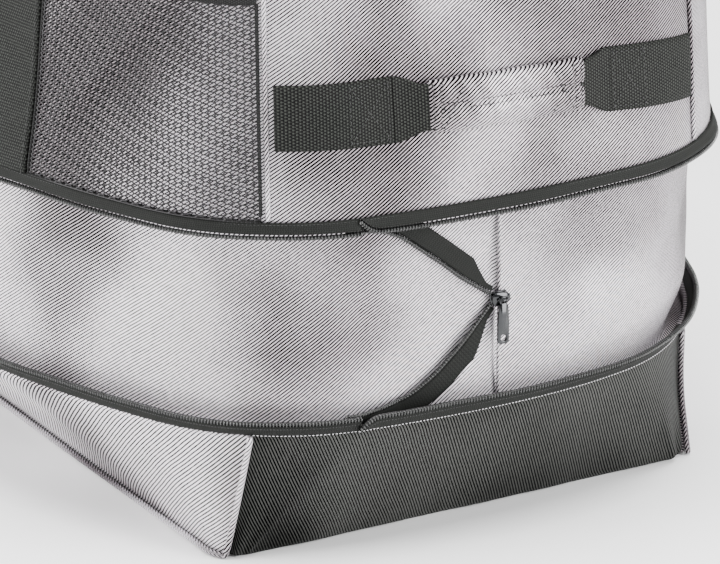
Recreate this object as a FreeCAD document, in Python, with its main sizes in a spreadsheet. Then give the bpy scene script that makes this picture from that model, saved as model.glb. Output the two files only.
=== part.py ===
import FreeCAD, Part
import math
import os
import Sketcher
from FreeCAD import Placement, Rotation, Vector

# Soft expanding skate bag: a boat-shaped base, a gusset that an open zip lets out, and an
# upper body with a lid.  X runs along the bag, Y across it, Z up from the floor.
# All sizes are millimetres and live in the sheet; angles there are degrees.

SIZES = (
    ("floor_half_length", 265, "half length of the bottom panel"),
    ("floor_half_depth", 138, "half depth of the bottom panel"),
    ("floor_corner", 17, "corner radius of the bottom panel"),
    ("floor_bow", 0.6, "turn of the bottom panel's sides at their ends"),
    ("foot_rise", 4, "upright stretch of the base above the floor"),
    ("zip_half_length", 298, "half length of the box round the zip line"),
    ("zip_half_depth", 171, "half depth of the box round the zip line"),
    ("zip_corner", 109, "corner radius of the zip line"),
    ("zip_end_bow", 7.5, "turn of the zip line's ends where they meet the corners"),
    ("zip_side_bow", 24.6, "turn of the zip line's long sides where they meet the corners"),
    ("rim_half_length", 284, "half length of the box round the top rim"),
    ("rim_half_depth", 153, "half depth of the box round the top rim"),
    ("rim_corner", 89, "corner radius of the top rim"),
    ("rim_side_bow", 17.2, "turn of the rim's long sides where they meet the corners"),
    ("base_height", 67, "floor to lower zip seam"),
    ("gusset_height", 115, "lower zip seam to upper zip seam, let out"),
    ("upper_height", 175, "upper zip seam to the top rim"),
    ("cloth", 2, "thickness of a lined fabric panel"),
    ("base_seam_turn", 38, "place of the base's corner seams round the corner arcs"),
    ("seam_turn", 33, "place of the upper corner seams round the corner arcs"),
    ("tape_thick", 1.2, "zip tape thickness"),
    ("tape_show", 10, "zip tape between its seam and its coil"),
    ("tape_lap", 3, "zip tape sewn over the panel edge"),
    ("coil_rise", 3, "coil height beyond the tape"),
    ("coil_proud", 0.4, "coil standing outside the tape"),
    ("coil_thick", 2.8, "coil thickness through the tape"),
    ("meeting_gap", 0.4, "space left between two coils that lie side by side"),
    ("soft_gap", 0.4, "space between soft pieces that move apart"),
    ("gusset_inset", 9.5, "gusset face behind the outside of the zip tapes"),
    ("gusset_cloth", 1.5, "gusset fabric thickness"),
    ("arm_reach", 62, "how far the open zip runs back from the slider"),
    ("arm_gap", 0.2, "space between gusset and the open zip's two arms"),
    ("slider_share", 0.49, "slider's place up the gusset"),
    ("slider_long", 10.6, "slider length along its zip"),
    ("slider_wide", 7.8, "slider width across its zip"),
    ("slider_thick", 3.4, "slider thickness"),
    ("slider_gap", 0.4, "space between gusset and slider"),
    ("post_wide", 1.8, "bail post width"),
    ("post_tall", 2.2, "bail post height"),
    ("pull_long", 23, "pull tab length below its pivot"),
    ("pull_wide", 6.4, "pull tab width"),
    ("pull_thick", 1.2, "pull tab thickness"),
    ("pull_lift", 1.4, "pull pivot above the slider face"),
    ("pull_eye", 0.8, "pull tab beyond its pivot"),
    ("pull_hole", 1.6, "hole radius in the pull tab"),
    ("board_thick", 3, "stiffener board thickness"),
    ("board_margin", 10, "board edge inside the bottom panel edge"),
    ("piping", 1.6, "piping radius"),
    ("piping_gap", 0.2, "space between piping and the panel it edges"),
    ("strap_near", 116, "inner edge of the carry straps from the middle"),
    ("strap_wide", 42, "carry strap width"),
    ("webbing", 2, "webbing thickness"),
    ("handle_root", 130, "carry handle root above the upper seam"),
    ("handle_drop", 118, "carry handle reach below its root"),
    ("handle_wide", 30, "carry handle webbing width"),
    ("handle_half_grip", 66, "half length of the carry handle's wrapped grip"),
    ("handle_grip_wall", 2.5, "padding on each face of the carry handle's grip"),
    ("handle_thick", 3, "carry handle webbing thickness"),
    ("pocket_top", 104, "net pocket height above the upper seam"),
    ("pocket_deep", 14, "net pocket depth off the panel"),
    ("pocket_net", 1.6, "net thickness"),
    ("binding_tall", 9, "elastic binding height"),
    ("pocket_gap", 1.5, "pocket edge to the strap beside it"),
    ("grip_centre", 47, "end handle centre above the upper seam"),
    ("grip_webbing", 32, "end handle webbing width"),
    ("grip_half", 44, "half length of the wrapped end grip"),
    ("grip_tall", 26, "height of the wrapped end grip"),
    ("grip_leg", 17, "loose webbing each side of the grip"),
    ("grip_off", 0.5, "loose webbing above the panel"),
    ("grip_wall", 1.8, "wrap thickness"),
    ("border", 27, "flat border between the rim and the lid zip"),
    ("lid_tape", 6, "lid zip tape width each side"),
    ("lid_coil", 1.8, "lid zip coil width each side"),
    ("lid_hinge", 122, "hinge line of the lid from the middle"),
    ("park", 7, "parked place of the lid sliders from the middle"),
)

doc = FreeCAD.newDocument("skate_bag")
sheet = doc.addObject("Spreadsheet::Sheet", "Sizes")
for row, (alias, value, meaning) in enumerate(SIZES, start=1):
    sheet.set(f"A{row}", meaning)
    sheet.set(f"B{row}", str(value))
    sheet.setAlias(f"B{row}", alias)
doc.recompute()

pieces = []


def size(name):
    """One driving size, read from the sheet."""
    return float(sheet.get(name))


LOW_SEAM = size("base_height")
HIGH_SEAM = LOW_SEAM + size("gusset_height")
RIM = HIGH_SEAM + size("upper_height")
SKIN = size("tape_thick")
SLIDER_LEVEL = LOW_SEAM + size("slider_share") * size("gusset_height")
FAR = 2 * (size("zip_half_length") + size("zip_half_depth"))


# ---------------------------------------------------------------- outlines and walls

def floor_ring():
    """Corner box, corner radius and bows of the bottom panel."""
    bow = math.radians(size("floor_bow"))
    return size("floor_half_length"), size("floor_half_depth"), size("floor_corner"), bow, bow


def zip_ring():
    """The same values for the line that both zip tapes follow."""
    return (size("zip_half_length"), size("zip_half_depth"), size("zip_corner"),
            math.radians(size("zip_end_bow")), math.radians(size("zip_side_bow")))


def rim_ring():
    """The same values for the top rim."""
    return (size("rim_half_length"), size("rim_half_depth"), size("rim_corner"),
            math.radians(size("zip_end_bow")), math.radians(size("rim_side_bow")))


def wall_ring(level):
    """The upper body's values at a height between the upper seam and the rim."""
    share = (level - HIGH_SEAM) / (RIM - HIGH_SEAM)
    return tuple(low + share * (high - low) for low, high in zip(zip_ring(), rim_ring()))


def corner_centre(ring):
    """Centre of the corner arc in the quarter where X and Y are positive."""
    half_x, half_y, radius = ring[:3]
    return half_x - radius, half_y - radius


def outline(ring, level, offset=0.0):
    """Closed wire of four bowed sides and four tangent corner arcs, moved out by offset."""
    centre_x, centre_y = corner_centre(ring)
    radius = ring[2] + offset
    end_bow, side_bow = ring[3], ring[4]
    end = Vector(centre_x + radius * math.cos(end_bow), centre_y + radius * math.sin(end_bow), level)
    side = Vector(centre_x + radius * math.sin(side_bow), centre_y + radius * math.cos(side_bow), level)
    half_turn = (end_bow + math.pi / 2 - side_bow) / 2
    corner = Vector(centre_x + radius * math.cos(half_turn), centre_y + radius * math.sin(half_turn), level)
    end_middle = Vector(end.x + end.y * math.tan(end_bow / 2), 0, level)
    side_middle = Vector(0, side.y + side.x * math.tan(side_bow / 2), level)
    edges = []
    for across, along in ((1, 1), (-1, 1), (-1, -1), (1, -1)):
        def place(point):
            return Vector(across * point.x, along * point.y, point.z)
        corner_arc = (place(end), place(corner), place(side))
        if across * along > 0:
            edges.append(Part.Arc(*corner_arc).toShape())
            edges.append(Part.Arc(place(side), place(side_middle),
                                  Vector(-across * side.x, along * side.y, level)).toShape())
        else:
            edges.append(Part.Arc(*reversed(corner_arc)).toShape())
            edges.append(Part.Arc(place(end), place(end_middle),
                                  Vector(across * end.x, -along * end.y, level)).toShape())
    return Part.Wire(Part.__sortEdges__(edges))


def filled(rings, offset):
    """Solid through the outlines of several (values, level) pairs."""
    return Part.makeLoft([outline(ring, level, offset) for ring, level in rings], True, True)


def band(rings, inner, outer):
    """Wall between two offsets of the same outlines."""
    return filled(rings, outer).cut(filled(rings, inner))


def straight_band(ring, low, high, inner, outer):
    """Upright wall between two levels."""
    return band(((ring, low), (ring, high)), inner, outer)


def wall(low, high, inner, outer):
    """Wall that follows the upper body's lean between two levels."""
    return band(((wall_ring(low), low), (wall_ring(high), high)), inner, outer)


def prism(points, low, high):
    """Upright prism over a list of (x, y) points."""
    corners = [Vector(x, y, low) for x, y in points]
    face = Part.Face(Part.makePolygon(corners + corners[:1]))
    return face.extrude(Vector(0, 0, high - low))


def side_region(side, turn_size):
    """Everything between the two corner seams of the front (-1) or the back (+1)."""
    centre_x, centre_y = corner_centre(zip_ring())
    turn = math.radians(size(turn_size))
    out_x = centre_x + FAR * math.cos(turn)
    out_y = centre_y + FAR * math.sin(turn)
    points = [(centre_x, side * centre_y), (out_x, side * out_y),
              (-out_x, side * out_y), (-centre_x, side * centre_y)]
    return prism(points, -FAR, FAR)


def window(x_span, y_span, z_span):
    """Box between three pairs of limits."""
    low = Vector(x_span[0], y_span[0], z_span[0])
    return Part.makeBox(x_span[1] - x_span[0], y_span[1] - y_span[0], z_span[1] - z_span[0], low)


def side_prism(points, side):
    """Prism over a list of (x, z) points that runs from the middle out to one long side."""
    corners = [Vector(x, 0, z) for x, z in points]
    face = Part.Face(Part.makePolygon(corners + corners[:1]))
    return face.extrude(Vector(0, side * FAR, 0))


def end_prism(points, end):
    """Prism over a list of (y, z) points that runs from the middle out to one end."""
    corners = [Vector(0, y, z) for y, z in points]
    face = Part.Face(Part.makePolygon(corners + corners[:1]))
    return face.extrude(Vector(end * FAR, 0, 0))


def add(label, shape):
    """A sub-part whose curved cloth shape only Part's own functions can make."""
    piece = doc.addObject("Part::Feature", label)
    piece.Label = label
    piece.Shape = shape
    piece.Placement = Placement()
    pieces.append(piece)
    return piece


def bind(piece, **expressions):
    """Tie an object's properties to expressions on the sheet."""
    for name, expression in expressions.items():
        piece.setExpression(name.replace("__", "."), expression)


# ---------------------------------------------------------------- base

def base_shell():
    """Base wall and bottom as one closed cup, before it is cut at the corner seams."""
    cloth = size("cloth")
    rise = size("foot_rise")
    foot = filled(((floor_ring(), 0), (floor_ring(), rise)), 0)
    flare = Part.makeLoft([outline(floor_ring(), rise), outline(zip_ring(), LOW_SEAM, -SKIN)], True, True)
    inner_foot = filled(((floor_ring(), cloth), (floor_ring(), rise)), -cloth)
    inner_flare = Part.makeLoft([outline(floor_ring(), rise, -cloth),
                                 outline(zip_ring(), LOW_SEAM, -SKIN - cloth)], True, True)
    return foot.cut(inner_foot).fuse(flare.cut(inner_flare)).removeSplitter()


def make_base():
    """Black sling under and at both ends, and the two long side panels."""
    shell = base_shell()
    above_bottom = window((-FAR, FAR), (-FAR, FAR), (size("cloth"), FAR))
    front = side_region(-1, "base_seam_turn").common(above_bottom)
    back = side_region(1, "base_seam_turn").common(above_bottom)
    add("base_sling", shell.cut(front).cut(back))
    add("lower_front_panel", shell.common(front))
    add("lower_back_panel", shell.common(back))


def make_piping():
    """Cord-filled piping along the bottom edge of both long sides."""
    for label, side in (("front_bottom_piping", "-1"), ("back_bottom_piping", "1")):
        rod = doc.addObject("Part::Cylinder", label)
        rod.Label = label
        rod.Placement = Placement(Vector(), Rotation(Vector(0, 1, 0), 90))
        bind(rod, Radius="Sizes.piping",
             Height="2 * (Sizes.floor_half_length - Sizes.floor_corner)",
             Placement__Base__x="Sizes.floor_corner - Sizes.floor_half_length",
             Placement__Base__y=f"{side} * (Sizes.floor_half_depth + Sizes.piping + 8 * Sizes.piping_gap)",
             Placement__Base__z="Sizes.piping + Sizes.piping_gap")
        pieces.append(rod)


def make_board():
    """Stiffener board that lies on the bottom panel."""
    board = doc.addObject("Part::Box", "base_board")
    board.Label = "base_board"
    bind(board, Length="2 * (Sizes.floor_half_length - Sizes.board_margin)",
         Width="2 * (Sizes.floor_half_depth - Sizes.board_margin)", Height="Sizes.board_thick",
         Placement__Base__x="Sizes.board_margin - Sizes.floor_half_length",
         Placement__Base__y="Sizes.board_margin - Sizes.floor_half_depth",
         Placement__Base__z="Sizes.cloth")
    pieces.append(board)


# ---------------------------------------------------------------- expansion zip and gusset

def make_zip_halves():
    """Lower and upper halves of the zip that runs right round the bag."""
    show, lap, rise = size("tape_show"), size("tape_lap"), size("coil_rise")
    coil_in = size("coil_proud") - size("coil_thick")
    coil_out = size("coil_proud")
    for name, seam, way in (("lower", LOW_SEAM, 1), ("upper", HIGH_SEAM, -1)):
        edge = seam + way * show
        low, high = sorted((seam - way * lap, edge))
        add(f"{name}_zip_tape", straight_band(zip_ring(), low, high, -SKIN, 0))
        low, high = sorted((edge, edge + way * rise))
        add(f"{name}_zip_coil", straight_band(zip_ring(), low, high, coil_in, coil_out))


def make_gusset():
    """Folding wall between the seams, with a turned edge at each seam."""
    face, cloth, gap = size("gusset_inset"), size("gusset_cloth"), size("soft_gap")
    top = HIGH_SEAM - gap
    skin = straight_band(zip_ring(), LOW_SEAM, top, -face - cloth, -face)
    low_edge = straight_band(zip_ring(), LOW_SEAM, LOW_SEAM + cloth, -face, -SKIN)
    high_edge = straight_band(zip_ring(), top - cloth, top, -face, -SKIN - gap)
    add("gusset", skin.fuse([low_edge, high_edge]).removeSplitter())


def arm_points(start, finish, near, far):
    """Slanting strip in the end's plane, from near to far across its centre line."""
    run, rise = finish[0] - start[0], finish[1] - start[1]
    length = math.hypot(run, rise)
    across = (-rise / length, run / length)
    return [(start[0] + near * across[0], start[1] + near * across[1]),
            (finish[0] + near * across[0], finish[1] + near * across[1]),
            (finish[0] + far * across[0], finish[1] + far * across[1]),
            (start[0] + far * across[0], start[1] + far * across[1])]


def make_zip_arms():
    """The two open ends of the zip, which meet in a V at the slider."""
    inner = size("arm_gap") - size("gusset_inset")
    outer = inner + SKIN
    show, rise = size("tape_show"), size("coil_rise")
    apex_y = -size("slider_long") / 2 - 2 * rise
    clear = size("tape_show") + size("coil_rise")
    sheet_band = straight_band(zip_ring(), LOW_SEAM + clear, HIGH_SEAM - clear, inner, outer)
    for name, seam, way in (("upper", HIGH_SEAM, 1), ("lower", LOW_SEAM, -1)):
        start = (apex_y - size("arm_reach"), seam - way * (show + rise))
        finish = (apex_y, SLIDER_LEVEL + way * 2 * rise)
        tape = end_prism(arm_points(start, finish, way * rise / 2, way * (show + rise / 2)), 1)
        coil = end_prism(arm_points(start, finish, -way * rise / 2, way * rise / 2), 1)
        add(f"{name}_arm_tape", sheet_band.common(tape))
        add(f"{name}_arm_coil", sheet_band.common(coil))


# ---------------------------------------------------------------- sliders and pulls

def sketch_on(body, name, plane="XY_Plane"):
    """Sketch on one of its own body's origin planes."""
    sketch = body.newObject("Sketcher::SketchObject", name)
    origin_plane = next(item for item in body.Origin.OriginFeatures if item.Role == plane)
    sketch.AttachmentSupport = (origin_plane, "")
    sketch.MapMode = "FlatFace"
    return sketch


def draw_polygon(sketch, corners):
    """Closed outline whose corners are pairs of expressions on the sheet."""
    points = [Vector(evaluate(x), evaluate(y), 0) for x, y in corners]
    count = len(points)
    for index, point in enumerate(points):
        sketch.addGeometry(Part.LineSegment(point, points[(index + 1) % count]), False)
    for index in range(count):
        sketch.addConstraint(Sketcher.Constraint("Coincident", index, 2, (index + 1) % count, 1))
    for index, (point, pair) in enumerate(zip(points, corners)):
        for kind, value, expression in (("DistanceX", point.x, pair[0]), ("DistanceY", point.y, pair[1])):
            number = sketch.addConstraint(Sketcher.Constraint(kind, -1, 1, index, 1, value))
            sketch.setExpression(f"Constraints[{number}]", expression)


def evaluate(expression):
    """Value of an expression on the sheet."""
    value = sheet.evalExpression(expression)
    return float(getattr(value, "Value", value))


def rectangle(half_x, half_y):
    """Corners of a centred rectangle."""
    return [(f"-({half_x})", f"-({half_y})"), (half_x, f"-({half_y})"),
            (half_x, half_y), (f"-({half_x})", half_y)]


def pad(body, sketch, name, length, start=None):
    """Pad of a sketch, by an expression."""
    feature = body.newObject("PartDesign::Pad", name)
    feature.Profile = sketch
    feature.setExpression("Length", length)
    if start:
        sketch.setExpression("AttachmentOffset.Base.z", start)
    sketch.Visibility = False
    return feature


def make_slider(label, place):
    """Slider: a thick plate with rounded edges and the post that holds its pull."""
    body = doc.addObject("PartDesign::Body", label)
    body.Label = label
    plate = sketch_on(body, f"{label}_plate")
    draw_polygon(plate, rectangle("Sizes.slider_long / 2", "Sizes.slider_wide / 2"))
    pad(body, plate, f"{label}_pad", "Sizes.slider_thick")
    post = sketch_on(body, f"{label}_post")
    draw_polygon(post, rectangle("Sizes.post_wide / 2", "Sizes.post_wide / 2"))
    post_pad = pad(body, post, f"{label}_post_pad", "Sizes.slider_thick + Sizes.post_tall")
    doc.recompute()
    corners = [f"Edge{number}" for number, edge in enumerate(post_pad.Shape.Edges, start=1)
               if is_plate_corner(edge)]
    rounding = body.newObject("PartDesign::Fillet", f"{label}_corners")
    rounding.Base = (post_pad, corners)
    rounding.setExpression("Radius", "Sizes.slider_wide / 4")
    body.Placement = place
    pieces.append(body)


def is_plate_corner(edge):
    """True for the four upright corner edges of a slider's plate."""
    middle = edge.CenterOfMass
    return (abs(edge.BoundBox.ZLength - size("slider_thick")) < 0.01 and edge.BoundBox.XLength < 0.01
            and abs(abs(middle.x) - size("slider_long") / 2) < 0.01)


def make_pull(label, place):
    """Pull tab: a fork round the post, a flat tab and a hole near its end."""
    body = doc.addObject("PartDesign::Body", label)
    body.Label = label
    half, eye = "Sizes.pull_wide / 2", "Sizes.pull_eye"
    slot = "Sizes.post_wide / 2 + Sizes.soft_gap"
    throat = "-(Sizes.post_wide + Sizes.soft_gap)"
    tip = "-Sizes.pull_long"
    hole_y = "2 * Sizes.pull_hole - Sizes.pull_long"
    shoulder = "-(Sizes.pull_long - Sizes.pull_wide / 4)"
    corners = [(f"-({half})", eye), (f"-({half})", shoulder), (f"-({half}) / 2", tip),
               (f"({half}) / 2", tip), (half, shoulder), (half, eye),
               (slot, eye), (slot, throat), (f"-({slot})", throat), (f"-({slot})", eye)]
    tab = sketch_on(body, f"{label}_tab")
    draw_polygon(tab, corners)
    tab.setExpression("AttachmentOffset.Base.z", "-Sizes.pull_thick / 2")
    hole = tab.addGeometry(Part.Circle(Vector(0, evaluate(hole_y), 0), Vector(0, 0, 1), size("pull_hole")), False)
    tab.addConstraint(Sketcher.Constraint("PointOnObject", hole, 3, -2))
    radius = tab.addConstraint(Sketcher.Constraint("Radius", hole, size("pull_hole")))
    tab.setExpression(f"Constraints[{radius}]", "Sizes.pull_hole")
    drop = tab.addConstraint(Sketcher.Constraint("DistanceY", -1, 1, hole, 3, evaluate(hole_y)))
    tab.setExpression(f"Constraints[{drop}]", hole_y)
    pad(body, tab, f"{label}_pad", "Sizes.pull_thick")
    body.Placement = place
    pieces.append(body)


def make_expansion_slider():
    """Slider and pull parked at the middle of the right end."""
    ring = zip_ring()
    centre_x, centre_y = corner_centre(ring)
    radius = ring[2] - size("gusset_inset")
    end_y = centre_y + radius * math.sin(ring[3])
    face_x = centre_x + radius * math.cos(ring[3]) + end_y * math.tan(ring[3] / 2)
    seat = face_x + size("slider_gap")
    along_y = Rotation(Vector(0, 1, 0), Vector(0, 0, 1), Vector(1, 0, 0), "ZXY")
    make_slider("expansion_slider", Placement(Vector(seat, 0, SLIDER_LEVEL), along_y))
    pivot = seat + size("slider_thick") + size("pull_lift")
    make_pull("expansion_pull", Placement(Vector(pivot, 0, SLIDER_LEVEL), along_y))


# ---------------------------------------------------------------- upper body

def make_panels():
    """Four wall panels, cut at the corner seams."""
    shell = wall(HIGH_SEAM, RIM, -SKIN - size("cloth"), -SKIN)
    front, back = side_region(-1, "seam_turn"), side_region(1, "seam_turn")
    ends = shell.cut(front).cut(back)
    add("front_panel", shell.common(front))
    add("back_panel", shell.common(back))
    add("right_end_panel", ends.common(window((0, FAR), (-FAR, FAR), (-FAR, FAR))))
    add("left_end_panel", ends.common(window((-FAR, 0), (-FAR, FAR), (-FAR, FAR))))


def seam_point(level, offset):
    """Point of the front right corner seam on the wall, moved out by offset."""
    centre_x, centre_y = corner_centre(wall_ring(level))
    turn = math.radians(size("seam_turn"))
    radius = wall_ring(level)[2] + offset
    return Vector(centre_x + radius * math.cos(turn), centre_y + radius * math.sin(turn), level)


def make_corner_welts():
    """Piped welts that stand on the four corner seams."""
    lap, radius = size("tape_lap") + size("soft_gap"), size("piping")
    stand = radius - SKIN + size("piping_gap")
    low = seam_point(HIGH_SEAM + lap, stand)
    high = seam_point(RIM, stand)
    for across, along, label in ((1, -1, "front_right"), (-1, -1, "front_left"),
                                 (1, 1, "back_right"), (-1, 1, "back_left")):
        foot = Vector(across * low.x, along * low.y, low.z)
        lean = Vector(across * (high.x - low.x), along * (high.y - low.y), high.z - low.z)
        rod = doc.addObject("Part::Cylinder", f"{label}_welt")
        rod.Label = f"{label}_welt"
        bind(rod, Radius="Sizes.piping")
        rod.Height = lean.Length
        rod.Placement = Placement(foot, Rotation(Vector(0, 0, 1), lean))
        pieces.append(rod)


def make_straps():
    """Carry straps sewn up both long sides."""
    near, far = size("strap_near"), size("strap_near") + size("strap_wide")
    low = HIGH_SEAM + size("tape_lap") + size("soft_gap")
    ribbon = wall(low, HIGH_SEAM + size("handle_root"), -SKIN, size("webbing") - SKIN)
    for side, name in ((-1, "front"), (1, "back")):
        for across, hand in ((1, "right"), (-1, "left")):
            x_span = sorted((across * near, across * far))
            y_span = sorted((0, side * FAR))
            add(f"{name}_{hand}_strap", ribbon.common(window(x_span, y_span, (-FAR, FAR))))


def make_pockets():
    """Net pockets between the front straps and the corner seams, open at the top."""
    low = HIGH_SEAM + size("tape_lap") + size("soft_gap")
    top = HIGH_SEAM + size("pocket_top")
    edge = size("strap_near") + size("strap_wide") + size("pocket_gap")
    net, deep = size("pocket_net"), size("pocket_deep")
    centre_x, centre_y = corner_centre(zip_ring())
    turn = math.radians(size("seam_turn"))
    inset = 2 * size("piping") + size("pocket_gap")
    out = Vector(math.cos(turn), -math.sin(turn), 0)
    aside = Vector(-math.sin(turn), -math.cos(turn), 0)
    block = wall(low, top, -SKIN, deep - net)
    hollow = wall(low + net, top + net, -SKIN - net, deep)
    rim_band = wall(top, top + size("binding_tall"), deep - net, deep)

    def region(margin):
        start = Vector(centre_x, -centre_y, 0) + aside * (inset + margin)
        corner = start + out * FAR
        return prism([(edge + margin, start.y), (start.x, start.y), (corner.x, corner.y),
                      (edge + margin, corner.y)], -FAR, FAR)

    face = wall(low, top, deep - net, deep).common(region(0))
    edge_strip = block.common(region(0)).cut(hollow.common(region(net)))
    binding = rim_band.common(region(0))
    for hand, across in (("right", 1), ("left", -1)):
        for name, shape in (("pocket", face), ("pocket_edge", edge_strip), ("pocket_binding", binding)):
            placed = shape if across > 0 else shape.mirror(Vector(), Vector(1, 0, 0))
            add(f"{hand}_{name}", placed)


def make_carry_handles():
    """Webbing loops that hang from the straps, each with a padded grip."""
    root, drop = HIGH_SEAM + size("handle_root"), size("handle_drop")
    foot = root - drop
    wide, half = size("handle_wide"), size("handle_half_grip")
    top_out = size("strap_near") + size("strap_wide") - (size("strap_wide") - wide) / 2
    low_out = half + wide
    outer = [(-top_out, root), (-low_out, foot), (low_out, foot), (top_out, root)]
    inner = [(-top_out + wide, root + 1), (-half, foot + wide), (half, foot + wide),
             (top_out - wide, root + 1)]
    near = size("webbing") - SKIN + size("soft_gap")
    pad_wall = size("handle_grip_wall")
    near += pad_wall
    loop = wall(foot, root, near, near + size("handle_thick"))
    sleeve = wall(foot, foot + wide, near - pad_wall, near + size("handle_thick") + pad_wall)
    for side, name in ((-1, "front"), (1, "back")):
        webbing = loop.common(side_prism(outer, side)).cut(side_prism(inner, side))
        span = sorted((0, side * FAR))
        grip_box = window((-half, half), span, (foot, foot + wide))
        grip = sleeve.common(grip_box).cut(webbing)
        add(f"{name}_handle_webbing", webbing)
        add(f"{name}_handle_grip", grip)


def make_end_handles():
    """Flat grab handles: sewn stubs, a loose middle and the wrap round it."""
    centre = HIGH_SEAM + size("grip_centre")
    half_web, half_wrap = size("grip_webbing") / 2, size("grip_tall") / 2
    half, leg, off = size("grip_half"), size("grip_leg"), size("grip_off")
    low, high = centre - half_web, centre + half_web
    core_in = size("webbing") - SKIN + off
    core_out = core_in + size("webbing")
    sewn = wall(low, high, -SKIN, size("webbing") - SKIN)
    core = wall(low, high, core_in, core_out)
    wrap = wall(centre - half_wrap, centre + half_wrap, core_in - size("grip_wall"),
                core_out + size("grip_wall"))
    seam = seam_point(centre, -SKIN)
    reach = seam.y - 2 * size("piping") - size("pocket_gap")
    for end, name in ((1, "right"), (-1, "left")):
        x_span = sorted((0, end * FAR))
        for side, place in ((-1, "front"), (1, "back")):
            span = sorted((side * (half + leg + size("soft_gap")), side * reach))
            add(f"{name}_handle_stub_{place}", sewn.common(window(x_span, span, (-FAR, FAR))))
        narrow = window(x_span, (-half - leg, half + leg), (centre - half_wrap + size("grip_wall"),
                                                           centre + half_wrap - size("grip_wall")))
        strip = core.common(narrow)
        add(f"{name}_grip_webbing", strip)
        box = window(x_span, (-half, half), (-FAR, FAR))
        add(f"{name}_grip_wrap", wrap.common(box).cut(strip))


# ---------------------------------------------------------------- top and lid

def make_top():
    """Flat border round the opening, the lid inside it, and the zip between them."""
    ring, cloth, gap = rim_ring(), size("cloth"), size("meeting_gap")
    hinge = size("lid_hinge")
    top = RIM + cloth
    tape, coil = size("lid_tape"), size("lid_coil")
    edge = -SKIN - size("border")
    ahead = window((-FAR, FAR), (-FAR, hinge + gap), (-FAR, FAR))
    lid_part = window((-FAR, FAR), (-FAR, hinge), (-FAR, FAR))
    hole = filled(((ring, RIM), (ring, top)), edge).common(ahead)
    add("top_border", filled(((ring, RIM), (ring, top)), -SKIN).cut(hole))
    add("border_zip_tape", straight_band(ring, RIM, top, edge - tape, edge).common(ahead))
    add("border_zip_coil", straight_band(ring, RIM, top, edge - tape - coil, edge - tape).common(ahead))
    lid_edge = edge - tape - coil - gap
    add("lid_zip_coil", straight_band(ring, RIM, top, lid_edge - coil, lid_edge).common(lid_part))
    add("lid_zip_tape", straight_band(ring, RIM, top, lid_edge - coil - tape,
                                      lid_edge - coil).common(lid_part))
    add("lid_panel", filled(((ring, RIM), (ring, top)), lid_edge - coil - tape).common(lid_part))


def make_lid_sliders():
    """Two sliders parked nose to nose at the middle of the lid's front edge."""
    ring = rim_ring()
    centre_x, centre_y = corner_centre(ring)
    offset = -SKIN - size("border") - size("lid_tape") - size("lid_coil")
    radius = ring[2] + offset
    side = Vector(centre_x + radius * math.sin(ring[4]), centre_y + radius * math.cos(ring[4]), 0)
    middle = side.y + side.x * math.tan(ring[4] / 2)
    y_place = -middle - size("slider_wide") / 2
    level = RIM + size("cloth") + size("soft_gap")
    for hand, across in (("right", 1), ("left", -1)):
        spot = Vector(across * size("park"), y_place, level)
        make_slider(f"lid_slider_{hand}", Placement(spot, Rotation()))
        pivot = spot + Vector(0, 0, size("slider_thick") + size("pull_lift"))
        turned = Rotation(Vector(0, 0, 1), 90 * across)
        make_pull(f"lid_pull_{hand}", Placement(pivot, turned))


# ---------------------------------------------------------------- build, check, write

def check(piece):
    """Stop at the first sub-part that failed or is not made of sound solids."""
    bad_states = {"Invalid", "Error"}
    if bad_states & set(piece.State):
        raise RuntimeError(f"{piece.Label}: {piece.State}")
    shape = piece.Shape
    if shape.isNull() or not shape.isValid() or not shape.Solids:
        raise RuntimeError(f"{piece.Label}: shape is not sound")
    print(f"{piece.Label}: {len(shape.Solids)} solid(s), {shape.Volume / 1000:.2f} cm3")


make_base()
make_piping()
make_board()
make_zip_halves()
make_gusset()
make_zip_arms()
make_expansion_slider()
make_panels()
make_corner_welts()
make_straps()
make_pockets()
make_carry_handles()
make_end_handles()
make_top()
make_lid_sliders()
doc.recompute()

for item in doc.Objects:
    if {"Invalid", "Error"} & set(item.State):
        raise RuntimeError(f"{item.Name}: {item.State}")
for item in pieces:
    check(item)
os.makedirs("parts", exist_ok=True)
for item in pieces:
    item.Shape.exportStep(os.path.join("parts", f"{item.Label}.step"))
print(f"{len(pieces)} sub-parts written")
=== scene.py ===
"""Looks of an expandable skate bag: twill panels, coil zips, webbing, net pockets and hardware."""
import logging
import math
from dataclasses import dataclass, field
from enum import Enum
from typing import Callable, Iterable, Sequence

import bmesh
import bpy
import numpy as np
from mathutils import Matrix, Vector


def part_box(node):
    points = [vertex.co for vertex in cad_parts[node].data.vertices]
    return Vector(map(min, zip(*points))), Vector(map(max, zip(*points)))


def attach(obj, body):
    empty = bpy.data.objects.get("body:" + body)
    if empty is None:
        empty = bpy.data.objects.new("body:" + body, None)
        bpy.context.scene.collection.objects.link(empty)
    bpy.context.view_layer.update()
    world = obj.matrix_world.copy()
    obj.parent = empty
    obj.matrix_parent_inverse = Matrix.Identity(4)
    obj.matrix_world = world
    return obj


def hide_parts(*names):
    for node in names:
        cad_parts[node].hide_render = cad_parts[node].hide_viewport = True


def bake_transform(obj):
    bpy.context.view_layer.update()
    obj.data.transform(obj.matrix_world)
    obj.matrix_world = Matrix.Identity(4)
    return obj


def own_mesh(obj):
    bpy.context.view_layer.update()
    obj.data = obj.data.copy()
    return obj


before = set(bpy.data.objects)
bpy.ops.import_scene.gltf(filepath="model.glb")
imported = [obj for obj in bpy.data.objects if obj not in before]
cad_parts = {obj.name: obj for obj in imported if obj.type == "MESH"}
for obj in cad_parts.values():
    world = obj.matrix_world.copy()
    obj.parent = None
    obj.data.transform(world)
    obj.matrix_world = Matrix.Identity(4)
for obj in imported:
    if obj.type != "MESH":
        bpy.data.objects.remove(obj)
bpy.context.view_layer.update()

LOG = logging.getLogger("skate_bag")
MM = 0.001
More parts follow.
